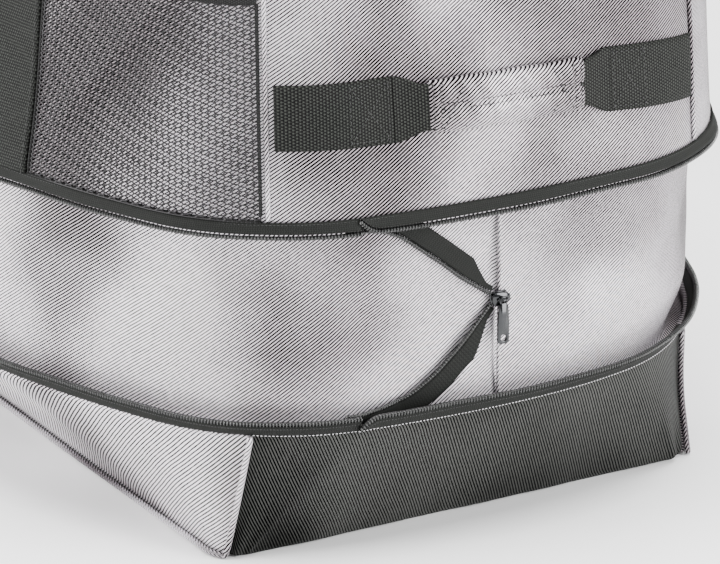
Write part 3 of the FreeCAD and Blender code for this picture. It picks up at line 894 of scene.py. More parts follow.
def cord_tree() -> RepeatTree:
    """Tree that turns the edges of a mesh into thin cords."""
    tree = RepeatTree("cords_on_edges", {"Cord Radius": "NodeSocketFloat"})
    curve = tree.add("GeometryNodeMeshToCurve")
    circle = tree.add("GeometryNodeCurvePrimitiveCircle", Resolution=3)
    cords = tree.add("GeometryNodeCurveToMesh", Fill_Caps=True)
    tree.link((tree.entry, "Geometry", curve, "Mesh"), (tree.entry, "Cord Radius", circle, "Radius"),
              (curve, "Curve", cords, "Curve"), (circle, "Curve", cords, "Profile Curve"))
    tree.end(cords, "Mesh")
    return tree


class Repeater:
    """Runs the trees and keeps their results as plain meshes."""

    def __init__(self, maker: Maker) -> None:
        """Build both trees once."""
        self.maker = maker
        self.beads = bead_tree()
        self.cords = cord_tree()

    def _run(self, name: str, mesh: bpy.types.Mesh, tree: RepeatTree, values: dict[str, object],
             look: Look, body: str, nodes: Iterable[str]) -> bpy.types.Object:
        """Evaluate a tree on a mesh and keep the result.

        Args:
            name: the piece's name.
            mesh: the tree's input.
            tree: the tree.
            values: values by the names of its inputs.
            look: its finish.
            body: its body.
            nodes: CAD nodes that it stands for.

        Returns:
            The finished piece.
        """
        source = bpy.data.objects.new(f"{name}_source", mesh)
        bpy.context.scene.collection.objects.link(source)
        modifier = source.modifiers.new("repeat", "NODES")
        modifier.node_group = tree.tree
        for label, value in {**values, "Finish": self.maker.wardrobe.looks[look]}.items():
            modifier[tree.inputs[label]] = value
        graph = bpy.context.evaluated_depsgraph_get()
        result = bpy.data.meshes.new_from_object(source.evaluated_get(graph))
        result.name = name
        bpy.data.objects.remove(source)
        piece = bpy.data.objects.new(name, result)
        bpy.context.scene.collection.objects.link(piece)
        for polygon in result.polygons:
            polygon.use_smooth = True
        return self.maker.place(piece, look, body, nodes)

    def line(self, name: str, paths: Sequence[Array], pitch: float, bead: tuple[float, float, float],
             look: Look, body: str) -> bpy.types.Object:
        """Beads along one or more lines.

        Args:
            name: the piece's name.
            paths: the lines' points.
            pitch: spacing, in metres.
            bead: bead size along, across and through, in metres.
            look: its finish.
            body: its body.

        Returns:
            The finished piece.
        """
        points, edges = [], []
        for path in paths:
            start = len(points)
            points += [tuple(map(float, p)) for p in path]
            edges += [(i, i + 1) for i in range(start, len(points) - 1)]
        mesh = bpy.data.meshes.new(f"{name}_path")
        mesh.from_pydata(points, edges, [])
        return self._run(name, mesh, self.beads, {"Pitch": pitch, "Bead Size": bead}, look, body, ())

    def net(self, name: str, points: Array, edges: list[tuple[int, int]], radius: float, look: Look,
            body: str, nodes: Iterable[str] = ()) -> bpy.types.Object:
        """Cords along a mesh's edges."""
        mesh = bpy.data.meshes.new(f"{name}_edges")
        mesh.from_pydata([tuple(map(float, p)) for p in points], edges, [])
        return self._run(name, mesh, self.cords, {"Cord Radius": radius}, look, body, nodes)


# ---------------------------------------------------------------- sub-assemblies

@dataclass
class SubAssembly:
    """Pieces that are made together."""

    maker: Maker
    repeater: Repeater

    @property
    def bag(self) -> BagSurface:
        """The bag's surface."""
        return self.maker.surface

    def profile_sheet(self, name: str, places: Array, profile: Sequence[tuple[float, float]], thick: float,
                      look: Look, body: str, nodes: Iterable[str] = (), closed: bool = False,
                      extra: Array | float = 0.0) -> bpy.types.Object:
        """Sheet whose section is a line of (offset, level) points, in millimetres.

        Args:
            name: the piece's name.
            places: places round the bag.
            profile: the section of its outer face, from low to high.
            thick: thickness, in millimetres.
            look: its finish.
            body: its body.
            nodes: CAD nodes that it stands for.
            closed: it runs all the way round.
            extra: further offset in metres, on the grid.

        Returns:
            The piece.
        """
        line = np.asarray(profile, float) * MM
        run = directions(line)
        back = line - thick * MM * np.stack([run[:, 1], -run[:, 0]], -1)
        grid = places[:, None]
        outer = self.bag.at(grid, line[None, :, 1], line[None, :, 0] + extra)
        inner = self.bag.at(grid, back[None, :, 1], back[None, :, 0] + extra)
        travel = travelled(line)
        if closed:
            along = np.broadcast_to(self.bag.length(grid), outer.shape[:2])
        else:
            steps = np.linalg.norm(np.diff(outer, axis=0), axis=2)
            along = np.concatenate([np.zeros((1, outer.shape[1])), np.cumsum(steps, axis=0)])
            along = along - along[len(places) // 2] + self.bag.length(places[len(places) // 2])
        uvs = pairs(along, line[0, 1] + travel[None, :])
        return self.maker.slab(name, outer, inner, uvs, look, body, nodes, closed)


@dataclass
class BaseTray(SubAssembly):
    """Black sling under and at both ends, with grey long sides and corner piping."""

    cloth: float = 2.0
    turn_under: float = 6.0
    lap: float = 16.0
    piping: float = 1.5
    rise: float = 5.0
    rows: int = 16

    def build(self) -> None:
        """Make every piece of the base."""
        bag = self.bag
        top = bag.low / MM + self.rise
        wall = [(FACE, z) for z in spread(self.turn_under, top, self.rows)]
        turn = [(FACE - self.turn_under * (1 - math.cos(a)), self.turn_under * (1 - math.sin(a)))
                for a in spread(math.pi / 2, 0.12, 7)]
        under = [(FACE - self.turn_under - self.lap * s, 0.0) for s in (1.0, 0.6, 0.25)]
        for name, first, last in (("right", bag.seam("front_right", True) - 1, bag.seam("back_right", True)),
                                  ("left", bag.seam("back_left", True), bag.seam("front_left", True))):
            places = spread(first, last, 150)
            wave = self._edge_wave(places, len(under) + len(turn) + len(wall))
            end = self.profile_sheet(f"{name}_end_sling", places, under + turn + wall, self.cloth,
                                     Look.BLACK, "base", ["base_sling"], extra=wave)
        for name, first, last in (("front", bag.seam("front_left", True), bag.seam("front_right", True)),
                                  ("back", bag.seam("back_right", True), bag.seam("back_left", True))):
            profile = [(-3.6, 1.4), (-2.3, 1.5), (-1.5, 2.3)]
            profile += [(FACE, z) for z in spread(4.0, top, self.rows)]
            side = self.profile_sheet(f"lower_{name}_cloth", spread(first, last, 300), profile, self.cloth,
                                      Look.GREY, "base", [f"lower_{name}_panel"])
            path = self._piping_path(first, last)
            self.maker.tube(f"{name}_base_piping", path, self.piping * MM, Look.GREY, "base",
                            [f"{name}_bottom_piping"])
        self._bottom()

    def _edge_wave(self, places: Array, rows: int) -> Array:
        """Softness of the sling's lower edge, in metres."""
        along = self.bag.length(places)[:, None]
        share = spread(0, 1, rows)[None, :]
        low = bell(share - 0.38, 0.22)
        return low * (1.0 * np.sin(along * 95) + 0.7 * np.sin(along * 210 + 1.0) - 0.6) * MM

    def _piping_path(self, first: float, last: float) -> Array:
        """Piping up one corner seam, along the bottom edge and up the other."""
        bag = self.bag
        stand = (FACE + self.piping + 0.1) * MM
        foot, corner = 1.9, 9
        drop = spread(bag.low + 2.0 * MM, corner * MM, 24)
        lead = (last - first) * 0.012
        bend = spread(0, math.pi / 2, 9)[1:]
        round_level = foot * MM + (corner - foot) * MM * (1 - np.sin(bend))
        round_place = lead * (1 - np.cos(bend))
        flat = spread(first + lead, last - lead, 160)[1:-1]
        places = np.concatenate([np.full(24, first), first + round_place, flat, (last - round_place)[::-1],
                                 np.full(24, last)])
        run = np.full(len(flat), foot * MM)
        levels = np.concatenate([drop, round_level, run, round_level[::-1], drop[::-1]])
        return bag.at(places, levels, stand)

    def _bottom(self) -> None:
        """Flat bottom cloth between the turned edges."""
        bag = self.bag
        places = spread(0.004, 0.496, 120)
        share = spread(0, 1, 24)[None, :, None]
        inset = -(self.turn_under - 1.5) * MM
        right = bag.at(places, 0.0, FACE * MM + inset)[:, None, :]
        left = bag.at(1 - places, 0.0, FACE * MM + inset)[:, None, :]
        grid = left + share * (right - left)
        low, high = grid.copy(), grid.copy()
        low[..., 2] = 0.25 * MM
        high[..., 2] = (self.cloth - 0.2) * MM
        piece = self.maker.slab("bottom_cloth", low, high, grid[..., :2], Look.BLACK, "base", ["base_sling"])


@dataclass
class ExpansionZip(SubAssembly):
    """Both halves of the zip round the bag, with teeth and stitches."""

    tape: float = 1.1
    pitch: float = 1.6
    tooth: tuple[float, float, float] = (1.0, 3.5, 2.6)
    stitch_pitch: float = 1.9
    open_y: float = -80.0
    lead: float = 11.0
    columns: int = 620

    def build(self) -> None:
        """Make tapes, coils and stitches."""
        bag = self.bag
        start = bag.place_of_y(self.open_y * MM, bag.high, 1)
        places = start + spread(0, 1, self.columns)
        near = spread(0, 1, 14) * self.lead / (bag.length(1.0) / MM)
        places = np.concatenate([start + near, places[places > start + near[-1] + 1e-4]])
        travel = (bag.length(places) - bag.length(start)) / MM
        lift = np.clip(1 - travel / self.lead, 0, 1) ** 2
        along = bag.length(places)[:, None]
        upper = (0.6 * np.sin(along * 37 + 2) + 0.35 * np.sin(along * 90)) * MM
        lower = (0.7 * np.sin(along * 41) + 0.4 * np.sin(along * 97 + 1)) * MM
        self._half("upper", "upper", [(1.9, -8.3), (1.5, -7.0), (0.9, -5.6), (0.4, -4.2), (0.2, -2.8)],
                   (0.9, -10.4), bag.high, 6.2, places, upper, lift)
        self._half("lower", "base", [(-0.7, 2.6), (0.0, 4.0), (0.8, 5.6), (1.7, 7.2), (2.6, 8.6)],
                   (1.5, 9.4), bag.low, -5.0, places, lower, lift)

    def _half(self, name: str, body: str, profile: list[tuple[float, float]], coil: tuple[float, float],
              seam: float, rise: float, places: Array, wave: Array, lift: Array) -> None:
        """One tape with its coil and stitches.

        Args:
            name: lower or upper.
            body: its body.
            profile: the tape's section above its seam, in millimetres.
            coil: the coil's offset and level above the seam.
            seam: the seam's level, in metres.
            rise: how far the free end of the zip curves back over the tape.
            places: places round the bag.
            wave: the tape's unevenness, in metres.
            lift: share of the rise at each place.
        """
        bag = self.bag
        line = np.asarray(profile) * MM
        free = np.array([abs(coil[1] - z) for _, z in profile])
        free = 1 - (free - free.min()) / (free.max() - free.min())
        ends = lift[:, None] * free[None, :] * rise * MM
        levels = seam + line[None, :, 1] + ends
        offsets = line[None, :, 0] + wave * free[None, :] + lift[:, None] * 0.8 * MM
        grid = places[:, None]
        outer = bag.at(grid, levels, offsets)
        inner = bag.at(grid, levels, offsets - self.tape * MM)
        uvs = pairs(bag.length(grid), levels)
        self.maker.slab(f"{name}_tape_band", outer, inner, uvs, Look.TAPE, body, [f"{name}_zip_tape"])
        out = coil[0] * MM + wave[:, 0] + lift * 0.8 * MM
        level = seam + coil[1] * MM + lift * rise * MM
        path = bag.at(places, level, out - 0.4 * MM)
        self.maker.tube(f"{name}_coil_cord", path, 1.1 * MM, Look.CORE, body, [f"{name}_zip_coil"], sides=6)
        self.repeater.line(f"{name}_coil_teeth", [bag.at(places, level, out)], self.pitch * MM,
                           tuple(v * MM for v in self.tooth), Look.COIL, body)
        way = 1 if coil[1] < 0 else -1
        chain = bag.at(places, level + way * 2.3 * MM, out + 0.8 * MM)
        self.repeater.line(f"{name}_coil_chain", [chain], self.pitch * MM, (0.9 * MM, 0.45 * MM, 0.4 * MM),
                           Look.THREAD_DARK, body)
        edge = 0 if name == "lower" else -1
        sewn = bag.at(places, levels[:, edge] + way * -0.9 * MM, offsets[:, edge] - 0.1 * MM)
        size = (1.25 * MM, 0.6 * MM, 0.5 * MM)
        if name == "upper":
            self.repeater.line("upper_tape_stitches", [sewn], self.stitch_pitch * MM, size,
                               Look.THREAD_DARK, body)
            return
        turn = np.mod(places, 1.0)
        seams = [bag.seam(n, True) for n in ("back_right", "back_left", "front_left", "front_right")]
        on_side = ((turn > seams[0]) & (turn < seams[1])) | ((turn > seams[2]) & (turn < seams[3]))
        below = sewn - np.array([0, 0, 1.0 * MM])
        for label, mask, look in (("side", on_side, Look.THREAD_DARK), ("end", ~on_side, Look.THREAD_LIGHT)):
            cuts = np.flatnonzero(np.diff(mask.astype(int))) + 1
            runs = [run for run in np.split(np.arange(len(places)), cuts) if mask[run[0]] and len(run) > 2]
            self.repeater.line(f"{label}_stitches", [below[run] for run in runs], self.stitch_pitch * MM,
                               size, look, body)


@dataclass
class Gusset(SubAssembly):
    """Folding wall between the zip halves, its end welts and the open zip's arms."""

    face: float = 9.5
    cloth: float = 1.5
    columns: int = 640
    keep: float = 0.2296
    arm_tape: float = 10.0
    arm_gap: float = 1.2
    shallow: float = -2.6
    deep: float = -8.2
    reach: float = 86.0
    throat: float = -5.5
    upper_route: Sequence[tuple[float, float]] = ((-86, 171.5), (-80, 171.5), (-68, 170), (-56, 164.5),
                                                  (-37, 150), (-20, 136))
    lower_route: Sequence[tuple[float, float]] = ((-86, 76.5), (-80, 76.5), (-63, 77.5), (-50, 80.5),
                                                  (-36, 89.5), (-20, 104))

    def fold(self, piece: bpy.types.Object) -> None:
        """Give a piece its own copy of its mesh."""
        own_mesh(piece)

    def build(self) -> None:
        """Make the wall, its welts and the two arms."""
        bag = self.bag
        low, high = bag.low / MM, bag.high / MM - 0.4
        face = -self.face - 0.3
        profile = [(-1.6, low + 0.3), (-5.0, low + 0.3), (face + 1.0, low + 0.5), (face, low + 1.8)]
        profile += [(face, z) for z in spread(low + 5, high - 5, 34)]
        profile += [(face, high - 1.8), (face + 1.0, high - 0.5), (-5.0, high - 0.3), (-1.6, high - 0.3)]
        places = np.linspace(0, 1, self.columns, endpoint=False)
        wall = self.profile_sheet("gusset_cloth", places, profile, self.cloth, Look.GREY, "base", ["gusset"],
                                  closed=True, extra=self._wrinkles(places, profile))
        self.fold(wall)
        for name, place in (("right", 0.0), ("left", 0.5)):
            levels = spread(bag.low + 1 * MM, bag.high - 1.5 * MM, 40)
            path = bag.at(np.full(40, place), levels, (face + 1.1) * MM)
            welt = self.maker.tube(f"{name}_gusset_welt", path, 0.9 * MM, Look.GREY, "base")
            self.fold(welt)
        for name, way in (("upper", 1), ("lower", -1)):
            self._arm(name, way)

    def _wrinkles(self, places: Array, profile: Sequence[tuple[float, float]]) -> Array:
        """Soft hollows in the folded wall, in metres."""
        along = self.bag.length(places)[:, None]
        level = np.array([z for _, z in profile])[None, :] * MM
        middle = np.clip((level - self.bag.low) / (self.bag.high - self.bag.low), 0, 1)
        fade = np.sin(math.pi * middle) ** 1.2
        return -fade * (2.2 + 1.2 * np.sin(along * 26 + 30 * level) + 0.9 * np.sin(along * 61 - 55 * level)
                        + 0.5 * np.sin(along * 140 + 90 * level)) * MM

    def _arm(self, name: str, way: int) -> None:
        """One arm of the open zip.

        Args:
            name: upper or lower.
            way: 1 for the upper arm, -1 for the lower.
        """
        low_box, high_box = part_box("expansion_slider")
        middle = (low_box.z + high_box.z) / 2 / MM
        route = self.upper_route if way > 0 else self.lower_route
        points = np.array([*route, (self.throat, middle + 3.2 * way)], float)
        y = spread(-self.reach, self.throat, 70)
        rough = np.interp(y, points[:, 0], points[:, 1])
        padded = np.concatenate([2 * rough[0] - rough[6:0:-1], rough, 2 * rough[-1] - rough[-2:-8:-1]])
        level = np.convolve(padded, np.hanning(15)[1:-1] / np.hanning(15).sum(), "valid")
        out = self.shallow + (self.deep - self.shallow) * np.clip((y + 78) / 22, 0, 1)
        centre = np.stack([y, level], -1)
        run = directions(centre)
        across = np.stack([-run[:, 1], run[:, 0]], -1) * way
        table_places = spread(-0.09, 0.09, 400)
        table_y = self.bag.at(table_places, self.bag.high - 5 * MM, 0.0)[:, 1] / MM

        def on_end(points: Array, offset: Array) -> Array:
            places = np.interp(points[..., 0], table_y, table_places)
            return self.bag.at(places, points[..., 1] * MM, offset * MM)

        widths = spread(self.arm_gap, self.arm_gap + self.arm_tape, 8)
        taper = np.clip((self.throat - y) / 16, 0.25, 1)
        away = self.arm_gap + (widths - self.arm_gap) * taper[:, None]
        grid = centre[:, None, :] + across[:, None, :] * away[:, :, None]
        grid = grid if way > 0 else grid[:, ::-1]
        outer, inner = on_end(grid, out[:, None]), on_end(grid, out[:, None] - 1.0)
        uvs = pairs(y[:, None] * MM, (widths * MM)[None, :])
        tape = self.maker.slab(f"{name}_arm_band", outer, inner, uvs, Look.TAPE, "base",
                               [f"{name}_arm_tape"])
        path = on_end(centre, out - 0.2)
        cord = self.maker.tube(f"{name}_arm_cord", path, 0.95 * MM, Look.CORE, "base", [f"{name}_arm_coil"],
                               sides=6)
        teeth = self.repeater.line(f"{name}_arm_teeth", [path], 1.6 * MM, (1.0 * MM, 3.2 * MM, 2.4 * MM),
                                   Look.COIL, "base")
        for piece in (tape, cord, teeth):
            self.fold(piece)


@dataclass
class UpperBody(SubAssembly):
    """Upper wall panels and the welts on the corner seams."""

    cloth: float = 2.0
    welt: float = 1.2
    rows: int = 60

    def build(self) -> None:
        """Make four panels and four welts."""
        bag = self.bag
        low, high = bag.high / MM - 4.5, bag.top / MM
        profile = [(PANEL_FACE, z) for z in spread(low, high, self.rows)]
        spans = {"right_end": (bag.seam("front_right") - 1, bag.seam("back_right"), 130),
                 "back": (bag.seam("back_right"), bag.seam("back_left"), 260),
                 "left_end": (bag.seam("back_left"), bag.seam("front_left"), 130),
                 "front": (bag.seam("front_left"), bag.seam("front_right"), 260)}
        for name, (first, last, count) in spans.items():
            places = spread(first, last, count)
            panel = self.profile_sheet(f"{name}_cloth", places, profile, self.cloth, Look.GREY, "upper",
                                       [f"{name}_panel"])
            width = float(bag.length(last - first))
        for name in ("front_right", "front_left", "back_right", "back_left"):
            levels = spread(bag.high - 1.5 * MM, bag.top - 0.5 * MM, 70)
            path = bag.at(np.full(70, bag.seam(name)), levels, (PANEL_FACE + self.welt * 0.7) * MM)
            self.maker.tube(f"{name}_seam_welt", path, self.welt * MM, Look.GREY, "upper", [f"{name}_welt"])


@dataclass
class NetPocket(SubAssembly):
    """Net pocket beside a front strap, with its elastic binding and sewn edge."""

    cell: tuple[float, float] = (4.8, 2.3)
    cord: float = 0.42
    top: float = 104.0
    binding: float = 9.0
    strap_edge: float = 159.5
    belly: float = 4.5

    def build(self) -> None:
        """Make both pockets."""
        for name, across in (("right", 1), ("left", -1)):
            self._pocket(name, across)

    def _span(self, across: int, level: float) -> tuple[float, float]:
        """Places of the strap side and the seam side."""
        seam = self.bag.seam("front_right" if across > 0 else "front_left")
        strap = self.bag.place_of_x(across * self.strap_edge * MM, level, -1)
        margin = 3.6 * MM / (4 * self.bag.quarter)
        return strap, seam - across * margin

    def stand(self, share: Array, height: Array) -> Array:
        """How far the net stands off the panel, in metres.

        Args:
            share: 0 at the strap and 1 at the corner seam.
            height: 0 at the bottom and 1 at the binding.

        Returns:
            The offset outside the zip line.
        """
        belly = np.sin(math.pi * np.clip(share, 0, 1)) ** 0.6 * (0.25 + 0.75 * height) * self.belly
        line = height - (0.42 + 1.35 * (share - 0.22))
        fold = 3.0 * bell(line, 0.075) * np.clip((share - 0.08) / 0.12, 0, 1)
        fold = fold * np.clip((0.85 - share) / 0.1, 0, 1)
        small = 0.8 * np.sin(share * 19 + height * 7) * np.sin(height * 17) * np.clip(height * 4, 0, 1)
        return (belly + fold + small * np.clip(share * 8, 0, 1) * np.clip((1 - share) * 8, 0, 1) - 0.5) * MM

    def _pocket(self, name: str, across: int) -> None:
        """One pocket.

        Args:
            name: right or left.
            across: 1 on the right, -1 on the left.
        """
        bag = self.bag
        low, high = bag.high - 2.4 * MM, bag.high + self.top * MM
        strap_low, seam_low = self._span(across, low)
        strap_high, seam_high = self._span(across, high)
        length = abs(seam_low - strap_low) * 4 * bag.quarter / MM
        tall = (high - low) / MM
        points, edges = self._cells(length, tall)
        share, height = points[:, 0] / length, points[:, 1] / tall
        level = low + height * (high - low)
        strap = strap_low + (strap_high - strap_low) * height
        seam = seam_low + (seam_high - seam_low) * height
        placed = bag.at(strap + share * (seam - strap), level, self.stand(share, height))
        self.repeater.net(f"{name}_net", placed, edges, self.cord * MM, Look.NET, "upper",
                          [f"{name}_pocket"])
        LOG.info("%s net has %d cords", name, len(edges))
        count = 60
        shares, rises = np.meshgrid(spread(0, 1, count), spread(0, 1, 6), indexing="ij")
        band = high + rises * self.binding * MM
        place = strap_high + shares * (seam_high - strap_high)
        out = self.stand(shares, np.ones_like(shares)) + 0.7 * MM + 0.5 * MM * np.sin(rises * math.pi)
        order = slice(None) if across > 0 else slice(None, None, -1)
        place, band, out = place[order], band[order], out[order]
        uvs = np.stack([bag.length(place), band], -1)
        outer, inner = bag.at(place, band, out), bag.at(place, band, out - 1.4 * MM)
        self.maker.slab(f"{name}_net_binding", outer, inner, uvs, Look.ELASTIC, "upper",
                        [f"{name}_pocket_binding"])
        rim = np.concatenate([np.stack([np.zeros(30), spread(1, 0, 30)], -1),
                              np.stack([spread(0, 1, 50), np.zeros(50)], -1)[1:],
                              np.stack([np.ones(30), spread(0, 1, 30)], -1)[1:]])
        edge_place = (strap_low + (strap_high - strap_low) * rim[:, 1]
                      + rim[:, 0] * (seam_low - strap_low + (seam_high - seam_low - strap_high + strap_low)
                                     * rim[:, 1]))
        path = bag.at(edge_place, low + rim[:, 1] * (high - low), -0.5 * MM)
        self.maker.tube(f"{name}_net_edge", path, 0.9 * MM, Look.ELASTIC, "upper", [f"{name}_pocket_edge"],
                        sides=8)

    def _cells(self, length: float, tall: float) -> tuple[Array, list[tuple[int, int]]]:
        """Six-sided cells as points and edges, in millimetres.

        Args:
            length: the net's width.
            tall: the net's height.

        Returns:
            The points and the pairs of joined points.
        """
        wide, high = self.cell
        index: dict[tuple[int, int], int] = {}
        points: list[tuple[float, float]] = []
        edges: set[tuple[int, int]] = set()

        def number(x: float, z: float) -> int:
            key = (round(x * 50), round(z * 50))
            if key not in index:
                index[key] = len(points)
                points.append((min(max(x, 0.0), length), min(max(z, 0.0), tall)))
            return index[key]

        for column in range(int(length / (0.75 * wide)) + 2):
            for row in range(int(tall / high) + 2):
                x, z = column * 0.75 * wide, (row + 0.5 * (column % 2)) * high
                if x > length + wide / 4 or z > tall + high / 4:
                    continue
                ring = [number(x - wide / 2, z), number(x - wide / 4, z + high / 2),
                        number(x + wide / 4, z + high / 2), number(x + wide / 2, z),
                        number(x + wide / 4, z - high / 2), number(x - wide / 4, z - high / 2)]
                for first, second in zip(ring, ring[1:] + ring[:1]):
                    if points[first] != points[second]:
                        edges.add((min(first, second), max(first, second)))
        return np.array(points), sorted(edges)


@dataclass
class CarryStraps(SubAssembly):
    """Straps sewn up the long sides and the webbing loops that hang from them."""

    near: float = 116.0
    wide: float = 42.0
    root: float = 130.0
    drop: float = 118.0
    handle_wide: float = 30.0
    half_grip: float = 66.0
    handle_out: float = 5.0
    pad: float = 3.4
    pad_middle: float = 4.3

    def build(self) -> None:
        """Make four straps and two handles."""
        for side, name in ((-1, "front"), (1, "back")):
            for across, hand in ((1, "right"), (-1, "left")):
                self._strap(f"{name}_{hand}", side, across)
            self._handle(name, side)

    def _strap(self, name: str, side: int, across: int) -> None:
        """One sewn strap with its stitch rows.

        Args:
            name: which strap.
            side: -1 at the front, 1 at the back.
            across: 1 on the right, -1 on the left.
        """
        bag = self.bag
        levels = spread(bag.high - 2.4 * MM, bag.high + self.root * MM, 60)
        edges = sorted((across * self.near * MM, across * (self.near + self.wide) * MM))
        first = np.array([bag.place_of_x(edges[0], z, side) for z in levels])
        last = np.array([bag.place_of_x(edges[1], z, side) for z in levels])
        if side > 0:
            first, last = last, first
        share = spread(0, 1, 16)[:, None]
        places = first[None, :] + share * (last - first)[None, :]
        grid_levels = np.broadcast_to(levels, places.shape)
        crown = 0.25 * MM * np.sin(share * math.pi)
        outer = bag.at(places, grid_levels, 0.7 * MM + crown)
        inner = bag.at(places, grid_levels, -1.1 * MM)
        uvs = np.stack([bag.length(places), grid_levels], -1)
        self.maker.slab(f"{name}_strap_webbing", outer, inner, uvs, Look.WEB_UP, "upper", [f"{name}_strap"])
        rows = [bag.at(first + (last - first) * s, levels, 0.75 * MM) for s in (0.06, 0.94)]
        self.repeater.line(f"{name}_strap_stitches", rows, 3.4 * MM, (2.2 * MM, 0.6 * MM, 0.5 * MM),
                           Look.THREAD_DARK, "upper")

    def _centre_line(self) -> Array:
        """Middle of the hanging loop as (X, level) points, in millimetres."""
        high = self.bag.high / MM + self.root
        low = high - self.drop + self.handle_wide / 2
        corner = self.half_grip + self.handle_wide / 2
        half = [(self.near + self.wide / 2, high), (corner + 6, low + 26), (corner - 4, low + 6),
                (corner - 24, low), (0.0, low)]
        points = half + [(-x, z) for x, z in reversed(half[:-1])]
        curve = np.array(points)
        for _ in range(4):
            first, second = curve[:-1] * 0.75 + curve[1:] * 0.25, curve[:-1] * 0.25 + curve[1:] * 0.75
            inner = np.stack([first, second], 1).reshape(-1, 2)
            curve = np.concatenate([curve[:1], inner, curve[-1:]])
        travel = travelled(curve)
        even = spread(0, travel[-1], 140)
        return np.stack([np.interp(even, travel, curve[:, 0]), np.interp(even, travel, curve[:, 1])], -1)

    def _on_side(self, points: Array, out: Array, side: int) -> Array:
        """Points on a long side from (X, level) pairs and offsets, in millimetres."""
        bag = self.bag
        table = spread(0.02, 0.48, 700) if side > 0 else spread(0.52, 0.98, 700)
        low = bag.at(table, bag.high, 0.0)
        high = bag.at(table, bag.top, 0.0)
        order_low, order_high = np.argsort(low[:, 0]), np.argsort(high[:, 0])
        x = points[..., 0] * MM
        share = (points[..., 1] * MM - bag.high) / (bag.top - bag.high)
        at_low = np.interp(x, low[order_low, 0], table[order_low])
        at_high = np.interp(x, high[order_high, 0], table[order_high])
        return bag.at(at_low + (at_high - at_low) * share, points[..., 1] * MM, out * MM)

    def _handle(self, name: str, side: int) -> None:
        """One webbing loop with its padded grip.

        Args:
            name: front or back.
            side: -1 at the front, 1 at the back.
        """
        line = self._centre_line()
        if side < 0:
            line = line[::-1]
        run = directions(line)
        across = np.stack([-run[:, 1], run[:, 0]], -1)
        if side > 0:
            across = -across
        width = spread(-0.5, 0.5, 12) * self.handle_wide
        grid = line[:, None, :] + across[:, None, :] * width[None, :, None]
        lift = self.handle_out + 0.35 * np.cos(width / self.handle_wide * math.pi)[None, :]
        lift = np.broadcast_to(lift, grid.shape[:2])
        travel = travelled(line) * MM
        uvs = pairs(travel[:, None], (width * MM)[None, :])
        outer, inner = self._on_side(grid, lift, side), self._on_side(grid, lift - 2.4, side)
        self.maker.slab(f"{name}_handle_strap", outer, inner, uvs, Look.WEB_FLAT, f"{name}_handle",
                        [f"{name}_handle_webbing"])
        self._grip(name, side)

    def _grip(self, name: str, side: int) -> None:
        """Padded sleeve round the middle of the loop.

        Args:
            name: front or back.
            side: -1 at the front, 1 at the back.
        """
        middle = self._centre_line()[:, 1].min()
        x = spread(-self.half_grip + 2, self.half_grip - 2, 70) * (1 if side < 0 else -1)
        turns = turns_of(44)
        ends = np.clip((self.half_grip - 2 - np.abs(x)) / 7, 0, 1) ** 0.5
        up = squarer(np.cos(turns), 0.55) * (self.handle_wide / 2 + 0.6)
        out = squarer(np.sin(turns), 0.8)
        thick = self.pad + 0.5 * ends
        seam = 1 - 0.16 * bell(up, 1.2) * (out > 0)
        flat = pairs(x[:, None], middle + up[None, :] * (0.94 + 0.06 * ends[:, None]))
        offset = self.pad_middle + out[None, :] * thick[:, None] * seam[None, :]
        offset = offset + 0.3 * np.sin(x[:, None] * 0.35)
        rings = self._on_side(flat, offset, side)
        uvs = pairs((x * MM)[:, None], (np.cos(turns) * 0.016)[None, :])
        self.maker.sleeve(f"{name}_grip_pad", rings, uvs, f"{name}_handle", f"{name}_handle_grip")


